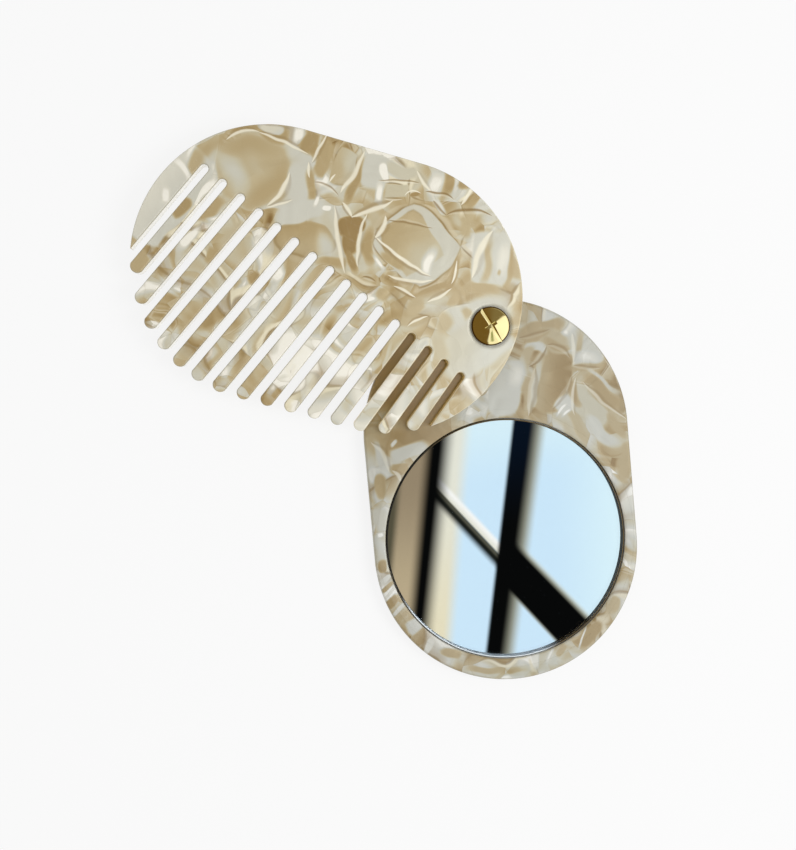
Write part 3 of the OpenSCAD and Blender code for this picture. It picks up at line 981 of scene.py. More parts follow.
        # Painted light: the cut walls are near white, or cream over the other plate, for light that runs
        # through the acetate.
        wall = wiring.mix(shaded, srgb(255, 253, 246), srgb(252, 236, 198))
        cut = wiring.add("Attribute", attribute_name=CUT_MARK).outputs["Fac"]
        eased = wiring.times(wiring.band(facing, 0.995, 0.85), wiring.band(facing, 0.15, 0.4))
        eased = wiring.times(eased, wiring.band(cut, 0.0, 1.0, 0.3, 0.5))
        colour = wiring.mix(eased, self.colour, line)
        lit_wall = wiring.times(wiring.band(facing, 0.4, 0.15), cut)
        self.colour = wiring.mix(wiring.times(lit_wall, self.look.wall_light_share), colour, wall)
        return lit_wall, shaded

    def finish(self, lit_wall: object, shaded: object) -> bpy.types.Material:
        """Adds the relief, the glow of the lower walls and the polish, and returns the material."""
        wiring, look = self.wiring, self.look
        relief = wiring.math("MULTIPLY_ADD", self.middle, 0.5, self.large)
        bump = wiring.add("Bump", {"Height": relief, "Strength": 0.35, "Distance": look.relief * MM})
        level = wiring.add("SeparateXYZ", {0: self.true_place}).outputs[2]
        deep = wiring.times(wiring.band(level, look.glow_top, look.glow_full), wiring.times(lit_wall, shaded))
        shader = wiring.add("BsdfPrincipled", {
            "Base Color": self.colour, "Roughness": look.roughness, "Metallic": look.satin,
            "Normal": bump.outputs[0], "Coat Weight": 1.0, "Coat Roughness": 0.03,
            "Emission Color": wiring.mix(deep, (0.0, 0.0, 0.0), look.glow), "Emission Strength": 1.0,
        })
        made = wiring.finish(shader.outputs[0])
        made.cycles.emission_sampling = "NONE"
        return made


@dataclass(frozen=True)
class Metal:
    """A plain polished metal with fine marks."""

    name: str
    colour: tuple[float, float, float]
    roughness: float = 0.15
    anisotropy: float = 0.0

    def material(self) -> bpy.types.Material:
        """Builds the material."""
        wiring = Wiring(self.name)
        place = wiring.add("TexCoord").outputs["Object"]
        noise = wiring.add("TexNoise", {"Vector": place, "Scale": 900.0, "Detail": 3.0})
        roughness = wiring.band(noise.outputs["Fac"], 0.3, 0.7, self.roughness * 0.7, self.roughness * 1.3)
        inputs = {"Base Color": self.colour, "Metallic": 1.0, "Roughness": roughness,
                  "Anisotropic": self.anisotropy}
        if self.anisotropy:
            inputs["Tangent"] = wiring.add("Tangent", direction_type="RADIAL", axis="Z").outputs[0]
        return wiring.finish(wiring.add("BsdfPrincipled", inputs).outputs[0])


@dataclass(frozen=True)
class Matte:
    """A plain matte plastic with a fine grain."""

    name: str
    colour: tuple[float, float, float]
    roughness: float = 0.6
    grain: float = 400.0

    def material(self) -> bpy.types.Material:
        """Builds the material."""
        wiring = Wiring(self.name)
        place = wiring.add("TexCoord").outputs["Object"]
        noise = wiring.add("TexNoise", {"Vector": wiring.scaled(place, 1.0 / MM), "Scale": self.grain * MM,
                                        "Detail": 4.0})
        darker = tuple(0.8 * part for part in self.colour)
        colour = wiring.mix(noise.outputs["Fac"], darker, self.colour)
        bump = wiring.add("Bump", {"Height": noise.outputs["Fac"], "Strength": 0.2, "Distance": 0.05 * MM})
        shader = wiring.add("BsdfPrincipled", {"Base Color": colour, "Roughness": self.roughness,
                                               "Normal": bump.outputs[0]})
        return wiring.finish(shader.outputs[0])


@dataclass(frozen=True)
class ClearGlass:
    """Clear float glass."""

    name: str = "clear_glass"

    def material(self) -> bpy.types.Material:
        """Builds the material."""
        wiring = Wiring(self.name)
        shader = wiring.add("BsdfPrincipled", {"Base Color": (0.985, 0.99, 0.987), "Roughness": 0.0,
                                               "IOR": 1.52, "Transmission Weight": 1.0})
        return wiring.finish(shader.outputs[0])


@dataclass(frozen=True)
class GroundEdge:
    """The ground edge of the looking glass: its own dark colour together with painted shade of the gap
    around it, browner towards one side, painted shade on its upper half towards another, and painted light
    that makes the end facing the window pale.
    """

    centre: tuple[float, float]
    middle: float
    lit_end_way: float = math.radians(248)
    brown_way: float = math.radians(314)
    upper_shade_way: float = math.radians(40)

    def material(self) -> bpy.types.Material:
        """Builds the material."""
        wiring = Wiring("ground_edge")
        place = wiring.add("TexCoord").outputs["Object"]
        offset = wiring.vector("SUBTRACT", place, (*self.centre, 0.0))
        way = wiring.vector("NORMALIZE", wiring.vector("MULTIPLY", offset, (1.0, 1.0, 0.0)))
        lit_end, brown, worn = (wiring.vector("DOT_PRODUCT", way, (math.cos(angle), math.sin(angle), 0.0))
                              for angle in (self.lit_end_way, self.brown_way, self.upper_shade_way))
        level = wiring.add("SeparateXYZ", {0: place}).outputs[2]
        upper = wiring.band(level, self.middle, self.middle + 0.4 * MM)
        # Painted shade: the upper half of the edge turns brown on the side this way points to.
        worn = wiring.times(upper, wiring.band(worn, -0.1, 0.5))
        brown = wiring.math("MAXIMUM", worn, wiring.band(brown, 0.84, 0.94))
        colour = wiring.mix(brown, srgb(24, 24, 20), srgb(96, 80, 50))
        # Painted light: the end of the edge that faces the window is painted pale.
        colour = wiring.mix(wiring.band(lit_end, 0.7, 0.84), colour, srgb(238, 246, 251))
        shader = wiring.add("BsdfPrincipled", {"Base Color": colour, "Roughness": 0.35})
        return wiring.finish(shader.outputs[0])


# The object


@dataclass(frozen=True)
class PlatePlan:
    """The outline that both plates share, along +X from the pivot."""

    radius: float
    near: float
    far: float
    rim: float = 0.75 * MM

    @classmethod
    def from_frame(cls) -> PlatePlan:
        """Works the outline out from the mirror plate of the frame."""
        low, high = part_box("mirror_plate")
        radius = (high.x - low.x) / 2
        return cls(radius, radius - high.y, -low.y - radius)

    def blank(self, name: str, low: float, high: float) -> Piece:
        """Adds a plain slab of this outline between two levels."""
        slab = add_disc(name, self.radius, low, high, ROUND, Vector((self.near, 0.0, 0.0)))
        return stretch(slab, self.near, self.far - self.near)

    def off_outline(self, point: Vector) -> float:
        """How far inside the outline a point lies in plan."""
        along = min(max(point.x, self.near), self.far)
        return self.radius - Vector((point.x - along, point.y)).length

    def mark_cuts(self, plate: Piece, swing: float) -> None:
        """Marks the faces inside the outline, whose walls light runs through, in a face attribute.

        Args:
            plate: The finished plate.
            swing: How far the plate is turned from this plan.
        """
        back = Matrix.Rotation(-swing, 3, "Z")
        marks = plate.data.attributes.new(CUT_MARK, "FLOAT", "FACE")
        for face, mark in zip(plate.data.polygons, marks.data):
            mark.value = float(self.off_outline(back @ face.center) > self.rim)

    def reach(self, start: Vector, along: Vector, inset: float) -> float:
        """How far it is from a point to the outline moved inwards.

        Args:
            start: The point in plan.
            along: Unit direction in plan, towards +Y.
            inset: How far the outline is moved inwards.

        Returns:
            The distance.
        """
        radius = self.radius - inset
        side = (radius - start.y) / along.y
        end = start.x + side * along.x
        if self.near <= end <= self.far:
            return side
        offset = start - Vector((self.far if end > self.far else self.near, 0.0))
        down = offset.dot(along)
        return math.sqrt(down * down - offset.dot(offset) + radius * radius) - down


@dataclass
class CombPlate:
    """The comb: a slab with a rack of round-ended slots along one side and a seat at its pivot."""

    plan: PlatePlan
    finish: PearlAcetate
    open_angle: float = math.radians(110.6)
    rack_tilt: float = math.radians(23.4)
    root_line: float = 13.2 * MM
    slot_w: float = 2.1 * MM
    coarse_count: int = 7
    coarse_pitch: float = 5.5 * MM
    coarse_lean: float = math.radians(1.3)
    fine_count: int = 9
    fine_pitch: float = 5.1 * MM
    fine_fan: float = math.radians(0.55)
    far_guard: float = 7.1 * MM
    tip_ease: float = 0.05 * MM
    tip_inset: float = 0.1 * MM
    edge_r: float = 0.4 * MM
    guard_clear: float = 3.0 * MM
    upright_from: float = 1.0 * MM
    corner_bend: float = math.radians(25)
    level_bend: float = math.radians(70)
    seat_gap: float = 1.1 * MM
    seat_floor: float = -0.35 * MM
    seat_depth: float = 0.4 * MM
    seat_rings: int = 10
    seat_clear: float = 6.6 * MM
    seat_over: float = 0.01 * MM
    bore_r: float = 2.55 * MM
    bore_depth: float = 6.0 * MM
    past: float = 1.0 * MM

    def slot_x(self, k: int) -> float:
        """Where slot k lies along the line of roots, counted from the far end."""
        first = self.plan.far * math.cos(self.rack_tilt) + self.plan.radius - self.far_guard
        if k < self.coarse_count:
            return first - k * self.coarse_pitch
        first_fine = (first - (self.coarse_count - 1) * self.coarse_pitch
                      - (self.coarse_pitch + self.fine_pitch) / 2)
        return first_fine - (k - self.coarse_count) * self.fine_pitch

    def slot_lean(self, k: int) -> float:
        """How far slot k leans from square to the line of roots."""
        return self.coarse_lean - self.fine_fan * max(0, k - self.coarse_count + 1)

    def root(self, x: float) -> Vector:
        """The point of the plan at a place on the line of root centres."""
        y = self.root_line + self.slot_w / 2
        return Matrix.Rotation(-self.rack_tilt, 2) @ Vector((x, y))

    def heading(self, lean: float) -> float:
        """The direction in plan, as an angle from +X, of what leans so far."""
        return math.pi / 2 - lean - self.rack_tilt

    def slots(self, low: float, high: float) -> Piece:
        """Models one slot cutter and copies it along the rack."""
        first = add_disc("slot_cutter", self.slot_w / 2, low - self.past, high + self.past, 32)
        stretch(first, 0.0, 2 * self.plan.radius)
        cutters = [copy_of(first) for _ in range(self.coarse_count + self.fine_count - 1)]
        cutters.insert(0, first)
        for k, cutter in enumerate(cutters):
            turn(cutter, self.heading(self.slot_lean(k)), self.root(self.slot_x(k)).to_3d())
        return join(cutters)

    def tip(self, k: int, low: float, high: float) -> Piece:
        """Models what is cut away around the round tip of the tooth between slots k and k + 1."""
        lean = (self.slot_lean(k) + self.slot_lean(k + 1)) / 2
        start = self.root((self.slot_x(k) + self.slot_x(k + 1)) / 2)
        heading = self.heading(lean)
        along = Vector((math.cos(heading), math.sin(heading)))
        half = (self.slot_x(k) - self.slot_x(k + 1)) / 2 * math.cos(lean) - self.slot_w / 2
        opening = math.tan((self.slot_lean(k) - self.slot_lean(k + 1)) / 2)
        tip_r = self.tip_ease + half + opening * self.plan.reach(start, along, self.tip_inset + half)
        reach = self.plan.reach(start, along, self.tip_inset + tip_r)
        length, width = self.plan.radius, 2 * tip_r + self.slot_w
        bpy.ops.mesh.primitive_cube_add(size=1.0, location=(length / 2, 0.0, (low + high) / 2),
                                        scale=(length, width, high - low + 2 * self.past))
        block = settle(bpy.context.active_object)
        cut_away(block, add_disc("tooth_end", tip_r, low - 2 * self.past, high + 2 * self.past, 40))
        return turn(block, heading, (start + reach * along).to_3d())

    def seat(self, high: float, head_r: float) -> Piece:
        """Models what is cut away around the pivot: the running bore and the soft dish under the head."""
        floor = high - self.seat_depth
        cutter = add_disc("seat_cutter", self.bore_r, high - self.bore_depth, floor, 96)
        width = self.seat_gap - self.seat_floor
        steps = []
        for ring in range(self.seat_rings + 1):
            share = ring / self.seat_rings
            rise = self.seat_depth * (share - math.sin(2 * math.pi * share) / (2 * math.pi))
            steps.append((floor + rise, head_r + self.seat_floor + width * share))
        steps[-1] = (high + self.seat_over, steps[-1][1])
        flare(cutter, floor, steps)
        return cutter

    def build(self) -> Piece:
        """Models the comb in its own plan and swings it to its place at rest."""
        low, high = (corner.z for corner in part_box("comb_plate"))
        head_low, head_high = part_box("pivot_screw")
        comb = self.plan.blank("comb_slab", low, high)
        cut_away(comb, self.seat(high, (head_high.x - head_low.x) / 2))
        cut_away(comb, self.slots(low, high))
        for k in range(self.coarse_count + self.fine_count - 1):
            cut_away(comb, self.tip(k, low, high))
        self.clear_guards(comb)
        round_edges(comb, self.edge_r, 5, self.is_outer_edge)
        swing = -math.pi / 2 - self.open_angle
        turn(comb, swing)
        finish_surface(comb, SMOOTH_ANGLE)
        self.plan.mark_cuts(comb, swing)
        dress(comb, self.finish.material())
        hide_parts("comb_plate")
        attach(comb, Body.COMB.value)
        return comb

    def clear_guards(self, comb: Piece) -> None:
        """Takes the small flats of the outline away beside each guard's point, so that it can be rounded."""
        with editing(comb, "EDGE") as mesh:
            upright = [e for e in mesh.edges if abs(e.verts[0].co.z - e.verts[1].co.z) > self.upright_from
                       and e.verts[0].co.xy.length > self.seat_clear]
            points = [e for e in upright if e.calc_face_angle() > self.corner_bend]
            pick(comb, mesh, "edges", lambda e: e in upright and e not in points and any(
                (e.verts[0].co.xy - point.verts[0].co.xy).length < self.guard_clear for point in points))
            bpy.ops.mesh.dissolve_edges(use_verts=True)

    def is_outer_edge(self, edge: bmesh.types.BMEdge) -> bool:
        """Whether an edge runs around the plate or a slot, or is the upright corner of a guard."""
        if edge.verts[0].co.xy.length < self.seat_clear or len(edge.link_faces) != 2:
            return False
        return edge.calc_face_angle() > (self.level_bend if is_level(edge) else self.corner_bend)


@dataclass
class MirrorPlate:
    """The mirror plate: a slab with a round pocket with an eased lip, and the nut's seat at its back."""

    plan: PlatePlan
    finish: PearlAcetate
    edge_r: float = 0.65 * MM
    glass_gap: float = 0.3 * MM
    lip_w: float = 2.2 * MM
    lip_drop: float = 0.25 * MM
    lip_step: float = 0.02 * MM
    lip_rings: int = 8
    level_bend: float = math.radians(70)
    bore_r: float = 2.55 * MM
    nut_gap: float = 0.1 * MM
    nut_depth: float = 1.2 * MM
    past: float = 1.0 * MM

    def build(self) -> Piece:
        """Models the mirror plate."""
        low, high = (corner.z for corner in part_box("mirror_plate"))
        plate = self.plan.blank("mirror_slab", low, high)
        round_edges(plate, self.edge_r, 6, lambda e: is_level(e) and e.calc_face_angle() > self.level_bend)
        turn(plate, -math.pi / 2)
        glass_low, glass_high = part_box("mirror_glass")
        centre = (glass_low + glass_high) / 2
        pocket_r = (glass_high.x - glass_low.x) / 2 + self.glass_gap
        lip_r = pocket_r + self.lip_w
        lip_low = high - self.lip_drop
        pocket = add_disc("pocket_cutter", pocket_r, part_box("adhesive_disc")[0].z, lip_low, ROUND)
        steps = []
        for ring in range(1, self.lip_rings + 1):
            swing = math.pi / 2 * ring / self.lip_rings
            steps.append((high - self.lip_step - (self.lip_drop - self.lip_step) * (1 - math.sin(swing)),
                          lip_r - self.lip_w * math.cos(swing)))
        wide = lip_r + self.lip_step
        flare(pocket, lip_low, [*steps, (high, wide), (high + self.past, wide)])
        turn(pocket, 0.0, Vector((centre.x, centre.y, 0.0)))
        cut_away(plate, pocket)
        nut_low, nut_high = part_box("barrel_nut")
        nut_r = (nut_high.x - nut_low.x) / 2 + self.nut_gap
        cut_away(plate, add_disc("nut_cutter", nut_r, low - self.past, low + self.nut_depth, 96))
        cut_away(plate, add_disc("bore_cutter", self.bore_r, low - self.past, high + self.past, 64))
        finish_surface(plate, SMOOTH_ANGLE)
        self.plan.mark_cuts(plate, -math.pi / 2)
        dress(plate, self.finish.material())
        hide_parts("mirror_plate")
        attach(plate, Body.MIRROR.value)
        return plate


@dataclass
class LookingGlass:
    """The round glass with its ground edge, and the silver on its back."""

    bevel: float = 0.25 * MM
    silver_bite: float = 0.01 * MM
    smooth: float = math.radians(40)
    polished_from: float = 0.98

    def build(self) -> list[Piece]:
        """Models the glass and the silver."""
        low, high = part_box("mirror_glass")
        centre = (low + high) / 2
        radius = (high.x - low.x) / 2
        glass = add_disc("looking_glass", radius, low.z, high.z, ROUND, centre)
        round_edges(glass, self.bevel, 3, is_level)
        finish_surface(glass, self.smooth)
        dress(glass, ClearGlass().material())
        glass.data.materials.append(GroundEdge((centre.x, centre.y), (low.z + high.z) / 2).material())
        for face in glass.data.polygons:
            face.material_index = int(abs(face.normal.z) < self.polished_from)
        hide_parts("mirror_glass")
        back_low, back_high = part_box("silver_backing")
        silver_r = (back_high.x - back_low.x) / 2
        silver = add_disc("silver_coat", silver_r, back_low.z, back_high.z + self.silver_bite, ROUND, centre)
        round_edges(silver, self.silver_bite, 2, is_level)
        finish_surface(silver, self.smooth)
        dress(silver, Metal("silver", srgb(244, 244, 245), 0.004).material())
        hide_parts("silver_backing")
        for piece in (glass, silver):
            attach(piece, Body.MIRROR.value)
        return [glass, silver]


@dataclass
class Pivot:
    """The binding screw with its crowned head, and the parts that it holds together."""

    head_rim: float = 0.5 * MM
    edge: float = 0.3 * MM
    crown_rings: int = 6
    drive_w: float = 0.8 * MM
    drive_slope: float = 0.2 * MM
    drive_level: float = 8.87 * MM
    drive_flare: float = 0.35 * MM
    cross_l: float = 3.2 * MM
    cross_level: float = 8.8 * MM
    cross_slope: float = 0.12 * MM
    drive_turn: float = math.radians(117)
    shank_r: float = 1.5 * MM
    shank_end: float = 1.7 * MM
    head_low: float = 8.3 * MM
    crown: float = 0.8 * MM

    def blade(self, reach: tuple[float, float, float], slope: float, worn: float,
              angle: float) -> Piece:
        """Models what one drive slot cuts away.

        Args:
            reach: Its length, the level of its floor and the level of its top.
            slope: How far the floor sinks across its width.
            worn: How much wider its top is, on the lower side of the floor.
            angle: Turn of its length from +X.

        Returns:
            The cutter.
        """
        length, floor, top = reach
        bpy.ops.mesh.primitive_cube_add(size=1.0, location=(0.0, 0.0, (floor + top) / 2),
                                        scale=(length, self.drive_w, top - floor))
        cutter = settle(bpy.context.active_object)
        with editing(cutter) as mesh:
            pick(cutter, mesh, "verts", lambda v: v.co.y < 0.0 and v.co.z < top - FLAT)
            bpy.ops.transform.translate(value=(0.0, 0.0, -slope))
        with editing(cutter) as mesh:
            pick(cutter, mesh, "verts", lambda v: v.co.y < 0.0 and v.co.z > top - FLAT)
            bpy.ops.transform.translate(value=(0.0, -worn, 0.0))
        return turn(cutter, angle)

    def screw(self) -> Piece:
        """Models the screw."""
        low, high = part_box("pivot_screw")
        head_r = (high.x - low.x) / 2
        rim = self.head_low + self.head_rim
        screw = add_disc("crown_screw", self.shank_r, self.shank_end, self.head_low, 96)
        inner = head_r - self.edge
        steps = [(self.head_low, inner), (self.head_low + 0.1 * MM, head_r), (rim - self.edge, head_r),
                 (rim - 0.3 * self.edge, head_r - 0.35 * self.edge), (rim, inner)]
        for ring in range(1, self.crown_rings):
            share = ring / self.crown_rings
            steps.append((rim + self.crown * share, inner * (1.0 - share) ** 0.92))
        flare(screw, self.head_low, steps)
        top = rim + self.crown
        cut_away(screw, self.blade((3 * head_r, self.drive_level, top), self.drive_slope, self.drive_flare,
                                   self.drive_turn))
        cut_away(screw, self.blade((self.cross_l, self.cross_level, top), self.cross_slope, 0.0,
                                   self.drive_turn + math.pi / 2))
        finish_surface(screw, math.radians(25))
        dress(screw, Metal("turned_brass", (0.80, 0.70, 0.36), 0.07).material())
        # Painted shade and painted reflection: the rim of the head gets a dark brass for the dark ring at
        # its edge.
        screw.data.materials.append(Metal("rim_shade_brass", srgb(78, 52, 14), 0.3).material())
        for face in screw.data.polygons:
            if self.head_low < face.center.z < rim and face.center.xy.length > inner:
                face.material_index = 1
        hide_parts("pivot_screw")
        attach(screw, Body.MIRROR.value)
        return screw

    def dress_inside(self, nodes: dict[str, Piece]) -> None:
        """Gives the parts of the frame that stay their finishes."""
        finishes = {
            "barrel_nut": Metal("nut_brass", srgb(206, 178, 98), 0.18, 0.5),
            "disc_spring": Metal("spring_steel", srgb(188, 190, 194), 0.22, 0.4),
            "friction_washer": Matte("nylon", srgb(236, 236, 230), 0.45),
            "adhesive_disc": Matte("foam_tape", srgb(240, 240, 236), 0.8, 900.0),
        }
        for name, finish in finishes.items():
            nodes[name].data.materials[0] = finish.material()


# The studio


@dataclass(frozen=True)
class PhotoCamera:
    """The camera of the photograph. It is placed in the frame turned about the pivot, in millimetres."""

    picture_w: int = 796
    picture_h: int = 850
    focal_px: float = 1018.95
    sensor: float = 36.0
    place: tuple[float, float, float] = (-38.618, -15.006, 251.812)
    pitch: float = -0.0367
    yaw: float = -0.0644
    frame_turn: float = math.radians(-5.22)
    base: float = 4.0

    def build(self) -> Piece:
        """Adds the camera and makes it the scene's own."""
        turned = Matrix.Rotation(self.frame_turn, 4, "Z")
        tilt = Matrix.Rotation(self.yaw, 4, "Y") @ Matrix.Rotation(self.pitch, 4, "X")
        location = (turned @ Vector(self.place) + Vector((0.0, 0.0, self.base))) * MM
        data = bpy.data.cameras.new("photo_camera")
        data.sensor_width = self.sensor
        data.lens = self.focal_px * self.sensor / max(self.picture_w, self.picture_h)
        data.clip_start, data.clip_end = 0.01, 20.0
        camera = bpy.data.objects.new("photo_camera", data)
        bpy.context.scene.collection.objects.link(camera)
        camera.matrix_world = Matrix.Translation(location) @ turned @ tilt
        bpy.context.scene.camera = camera
        return camera


Edge = tuple[tuple[float, float], tuple[float, float]]


@dataclass
class Window:
    """The window that the mirror shows: panes of sky behind crossing bars, with a wall at the left.

    The edges are lines through two points of the photograph, in its pixels. Each point is followed from the
    camera to the mirror and up to the card, so that the card shows in the mirror as in the photograph.
    """

    camera: Piece
    focal: float
    centre: tuple[float, float]
    mirror_level: float
    height: float = 0.28
    gain: float = 1.1
    fringe_w: float = 3.0
    view: Edge = ((360.0, 380.0), (660.0, 690.0))
    sky: tuple = srgb(204, 232, 250)
    sky_top: tuple = srgb(215, 240, 249)
    sky_right: tuple = srgb(219, 244, 251)
    fringe: tuple = srgb(208, 210, 188)
    cream: tuple = srgb(228, 229, 215)
    low_cream: tuple = srgb(230, 222, 190)
    glow: tuple = srgb(249, 250, 247)
    low_glow: tuple = srgb(224, 224, 208)
    wall: tuple = srgb(149, 134, 109)
    low_wall: tuple = srgb(186, 170, 138)
    wall_end: tuple = srgb(84, 80, 63)
    bar_side: tuple = srgb(82, 82, 70)
    thin_bar: tuple = srgb(28, 31, 27)
    dark: tuple = srgb(8, 9, 9)
    dark_top: tuple = srgb(8, 18, 31)
    main_left: Edge = ((512.7, 420.0), (484.8, 656.5))
    main_right: Edge = ((539.5, 420.0), (507.8, 656.5))
    left_left: Edge = ((426.8, 450.0), (411.6, 608.0))
    left_right: Edge = ((447.8, 447.0), (430.6, 606.6))
    cream_right: Edge = ((466.0, 434.0), (449.0, 639.0))
    thin_upper: Edge = ((436.8, 488.4), (498.8, 554.3))
    thin_lower: Edge = ((436.0, 502.0), (497.1, 567.0))
    thin_side: Edge = ((436.8, 493.0), (498.8, 559.0))
    glow_upper: Edge = ((449.5, 489.5), (498.8, 541.5))
    glow_lower: Edge = ((449.5, 496.5), (498.8, 548.5))
    wall_left: Edge = ((401.0, 470.0), (391.0, 575.0))
    thick_upper: Edge = ((521.2, 550.0), (588.3, 618.9))
    thick_lower: Edge = ((513.4, 595.0), (559.1, 644.0))
    sky_fall: Edge = ((480.0, 455.0), (560.0, 445.0))
    sky_side: Edge = ((590.0, 400.0), (590.0, 680.0))
    cream_fall: Edge = ((440.0, 560.0), (480.0, 555.0))
    wall_fall: Edge = ((390.0, 545.0), (430.0, 539.0))
    bar_fall: Edge = ((480.0, 480.0), (560.0, 470.0))

    def on_card(self, pixel: tuple[float, float]) -> Vector:
        """Follows a point of the picture off the mirror and up to the card."""
        turned = self.camera.matrix_world.to_3x3()
        right, up = pixel[0] - self.centre[0], self.centre[1] - pixel[1]
        ray = turned @ Vector((right / self.focal, up / self.focal, -1.0))
        eye = self.camera.matrix_world.translation
        climb = (eye.z - self.mirror_level) + (self.height - self.mirror_level)
        spot = eye + ray * (climb / -ray.z)
        return Vector((spot.x, spot.y, self.height))

    def past(self, wiring: Wiring, place: object, edge: Edge, blur: float) -> Socket:
        """Says how far a place is past an edge, towards the picture's right: 0 before it and 1 behind it.

        Args:
            wiring: The material's wiring.
            place: A place on the card in metres.
            edge: The edge in the picture.
            blur: How wide the change is, in pixels.

        Returns:
            The share from 0 to 1.
        """
        start, end = (self.on_card(pixel) for pixel in edge)
        beside = self.on_card((edge[0][0] + 1.0, edge[0][1]))
        along = end - start
        normal = Vector((along.y, -along.x, 0.0)).normalized()
        normal *= math.copysign(1.0, normal.dot(beside - start))
        pixel_size = (beside - start).length
        offset = wiring.vector("DOT_PRODUCT", wiring.vector("SUBTRACT", place, tuple(start)), tuple(normal))
        return wiring.band(offset, -blur / 2 * pixel_size, blur / 2 * pixel_size)

    def material(self) -> bpy.types.Material:
        """Paints the window's view."""
        wiring = Wiring("window_view")
        place = wiring.add("TexCoord").outputs["Object"]

        def fade(edge: Edge, blur: float, first: object, second: object) -> Socket:
            """Goes from one colour to another across an edge."""
            return wiring.mix(self.past(wiring, place, edge, blur), first, second)

        def lay(first: Edge, second: Edge, blurs: tuple[float, float], under: object,
                colour: object) -> Socket:
            """Lays a colour between two edges over what is under it."""
            within = wiring.math("SUBTRACT", self.past(wiring, place, first, blurs[0]),
                                 self.past(wiring, place, second, blurs[1]))
            return wiring.mix(within, under, colour)

        def moved(edge: Edge, by: float) -> Edge:
            """Moves an edge to the right."""
            return (edge[0][0] + by, edge[0][1]), (edge[1][0] + by, edge[1][1])

        sky = fade(self.sky_fall, 70.0, self.sky_top, self.sky)
        sky = fade(self.sky_side, 90.0, sky, self.sky_right)
        cream = fade(self.cream_fall, 200.0, self.cream, self.low_cream)
        left = fade(self.cream_right, 16.0, cream, sky)
        glow = fade(self.glow_lower, 9.0, self.low_glow, self.glow)
        left = lay(self.thin_upper, self.glow_upper, (2.0, 5.0), left, glow)
        left = lay(self.thin_lower, self.thin_upper, (8.0, 3.0), left, self.thin_bar)
        left = lay(self.thin_side, self.thin_upper, (3.0, 3.0), left, self.bar_side)
        left = fade(self.left_right, 18.0, self.dark, left)
        wall = fade(self.wall_fall, 130.0, self.wall, self.low_wall)
        left = fade(self.left_left, 14.0, fade(self.wall_left, 9.0, self.wall_end, wall), left)
        right = fade(moved(self.main_right, self.fringe_w), 14.0, self.fringe, sky)
        right = lay(self.thick_lower, moved(self.thick_upper, self.fringe_w), (5.0, 8.0), right, self.fringe)
        right = lay(self.thick_lower, self.thick_upper, (5.0, 8.0), right, self.dark)
        bar = fade(self.bar_fall, 110.0, self.dark_top, self.dark)
        pane = fade(self.main_left, 5.0, left, bar)
        pane = fade(self.main_right, 20.0, pane, right)
        light = wiring.add("Emission", {"Color": pane, "Strength": self.gain}).outputs[0]
        by_glass = wiring.by_glass(wiring.add("LightPath").outputs)
        clear = wiring.add("BsdfTransparent").outputs[0]
        return wiring.finish(wiring.add("MixShader", {0: by_glass, 1: clear, 2: light}).outputs[0])

    def build(self) -> Piece:
        """Adds the card that carries the view, for reflections alone."""
        low, high = (self.on_card(pixel) for pixel in self.view)
        bpy.ops.mesh.primitive_plane_add(size=1.0, location=(low + high) / 2)
        card = bpy.context.active_object
        card.scale = (abs(high.x - low.x), abs(high.y - low.y), 1.0)
        settle(card)
        card.name = "window_card"
        dress(card, self.material())
        card.visible_camera = card.visible_diffuse = card.visible_shadow = False
        return card


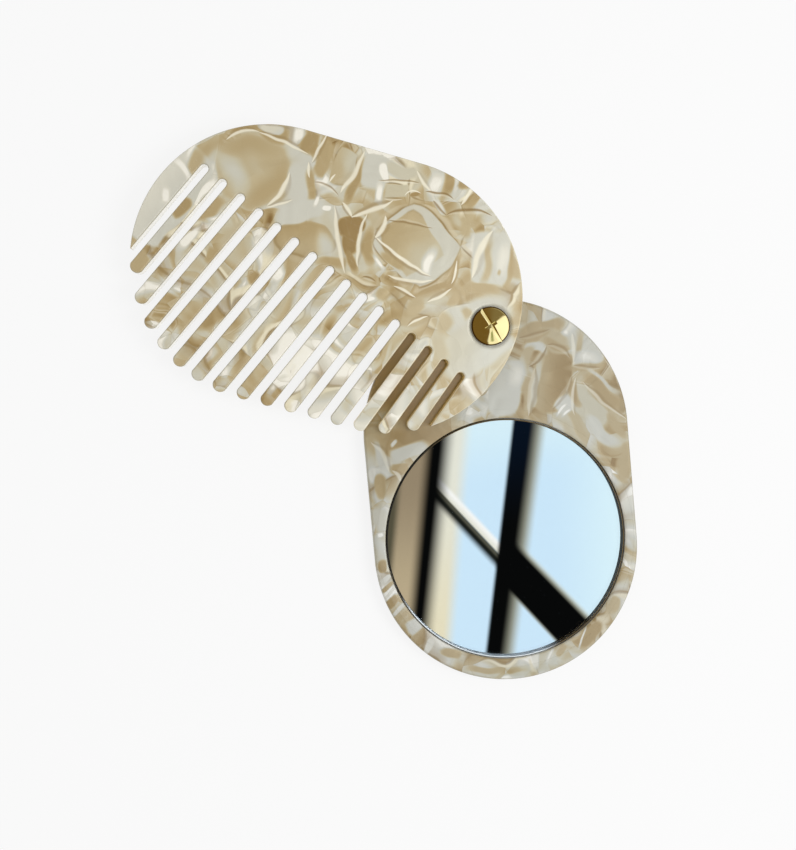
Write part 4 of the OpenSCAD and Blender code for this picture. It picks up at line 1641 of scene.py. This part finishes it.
@dataclass
class Studio:
    """A pale floor and a soft room, bright on the side of the window and dim on the other."""

    floor_size: float = 3.0
    floor_level: float = -0.05 * MM
    floor_glow: float = 0.825
    floor_tone: float = 0.12
    light_size: float = 0.26
    light_power: float = 1.3
    light_place: tuple[float, float, float] = (0.3, -0.1, 0.42)
    light_aim: tuple[float, float, float] = (0.0, -0.03, 0.0)
    plain_light: float = 0.78
    bright_right: tuple[float, float, float] = (0.996, -0.09, 0.0)
    bright_below: tuple[float, float, float] = (0.379, -0.925, 0.0)
    bright: tuple[float, float, float] = (1.2, 1.2, 1.17)
    brightest: tuple[float, float, float] = (1.5, 1.5, 1.5)
    dim: tuple[float, float, float] = (0.19, 0.12, 0.036)
    dim_top: tuple[float, float, float] = (0.25, 0.2, 0.11)
    low_room: tuple[float, float, float] = (0.78, 0.76, 0.68)
    far_room: tuple[float, float, float] = (0.30, 0.33, 0.36)
    near_room: tuple[float, float, float] = (0.62, 0.78, 0.90)
    post: tuple[float, float, float] = (0.35, 0.40, 0.2)
    post_way: tuple[float, float, float] = (0.163, -0.31, 0.936)

    def world(self) -> None:
        """Lights the room evenly, and shows polished things a bright side and a dim brown side."""
        world = bpy.data.worlds.new("room")
        world.use_nodes = True
        wiring = Wiring.of(world.node_tree)
        way = wiring.add("TexCoord").outputs["Generated"]
        right = wiring.vector("DOT_PRODUCT", way, self.bright_right)
        below = wiring.vector("DOT_PRODUCT", way, self.bright_below)
        shown = wiring.mix(wiring.band(right, 0.3, 0.6), self.bright, self.brightest)
        post = wiring.vector("DISTANCE", way, self.post_way)
        shown = wiring.mix(wiring.band(post, 0.07, 0.02), shown, self.post)
        within = wiring.times(wiring.band(right, 0.05, 0.1), wiring.band(below, -0.08, -0.03))
        dim = wiring.mix(wiring.band(right, 0.0, 0.3), self.dim, self.dim_top)
        shown = wiring.mix(within, dim, shown)
        low = wiring.band(wiring.add("SeparateXYZ", {0: way}).outputs[2], 0.8, 0.62)
        shown = wiring.mix(low, shown, self.low_room)
        path = wiring.add("LightPath").outputs
        by_glass = wiring.by_glass(path)
        room = wiring.mix(wiring.band(right, -0.7, 0.7), self.far_room, self.near_room)
        shown = wiring.mix(by_glass, shown, room)
        polished = wiring.math("MAXIMUM", path["Is Glossy Ray"], by_glass)
        colour = wiring.mix(polished, (self.plain_light,) * 3, shown)
        world.node_tree.links.new(colour, world.node_tree.nodes["Background"].inputs["Color"])
        bpy.context.scene.world = world
        bpy.context.scene.view_settings.view_transform = "Standard"

    def floor(self) -> Piece:
        """Adds the floor, which can be looked through from below."""
        bpy.ops.mesh.primitive_plane_add(size=self.floor_size, location=(0.0, 0.0, self.floor_level))
        floor = settle(bpy.context.active_object)
        floor.name = "floor"
        wiring = Wiring("pale_floor")
        glow = wiring.add("Emission", {"Color": (1.0, 1.0, 1.0), "Strength": self.floor_glow}).outputs[0]
        paper = wiring.add("BsdfDiffuse", {"Color": (self.floor_tone,) * 3}).outputs[0]
        lit = wiring.add("AddShader", {0: glow, 1: paper}).outputs[0]
        clear = wiring.add("BsdfTransparent").outputs[0]
        below = wiring.add("NewGeometry").outputs["Backfacing"]
        dress(floor, wiring.finish(wiring.add("MixShader", {0: below, 1: lit, 2: clear}).outputs[0]))
        return floor

    def window_light(self) -> None:
        """Adds the soft light of the window at the right."""
        data = bpy.data.lights.new("window_light", "AREA")
        data.shape = "SQUARE"
        data.size = self.light_size
        data.energy = self.light_power
        light = bpy.data.objects.new("window_light", data)
        bpy.context.scene.collection.objects.link(light)
        light.location = self.light_place
        light.visible_glossy = False
        aim = Vector(self.light_aim) - light.location
        light.rotation_euler = aim.to_track_quat("-Z", "Y").to_euler()

    def build(self) -> None:
        """Sets the studio up."""
        self.world()
        self.floor()
        self.window_light()


def main() -> None:
    """Builds every piece around the frame."""
    logging.basicConfig(level=logging.INFO, format="%(message)s")
    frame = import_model()
    camera = PhotoCamera()
    eye = camera.build()
    Studio().build()
    middle = (camera.picture_w / 2, camera.picture_h / 2)
    Window(eye, camera.focal_px, middle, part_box("silver_backing")[1].z).build()
    plan = PlatePlan.from_frame()
    comb_pearl = PearlAcetate("comb_pearl", (0.0, 0.0, 0.0), COMB_FLAKES, COMB_RIDGES,
                              shade_way=(0.802, -0.597))
    mirror_pearl = PearlAcetate("mirror_pearl", (37.0, 11.0, 3.0), MIRROR_FLAKES, MIRROR_RIDGES,
                                tint=(0.735, 0.755, 0.80))
    pivot = Pivot()
    pieces = [
        CombPlate(plan, comb_pearl).build(),
        MirrorPlate(plan, mirror_pearl).build(),
        *LookingGlass().build(),
        pivot.screw(),
    ]
    pivot.dress_inside(frame["nodes"])
    for piece in pieces:
        LOG.info("%s: %d faces", piece.name, len(piece.data.polygons))


if __name__ == "__main__":
    main()
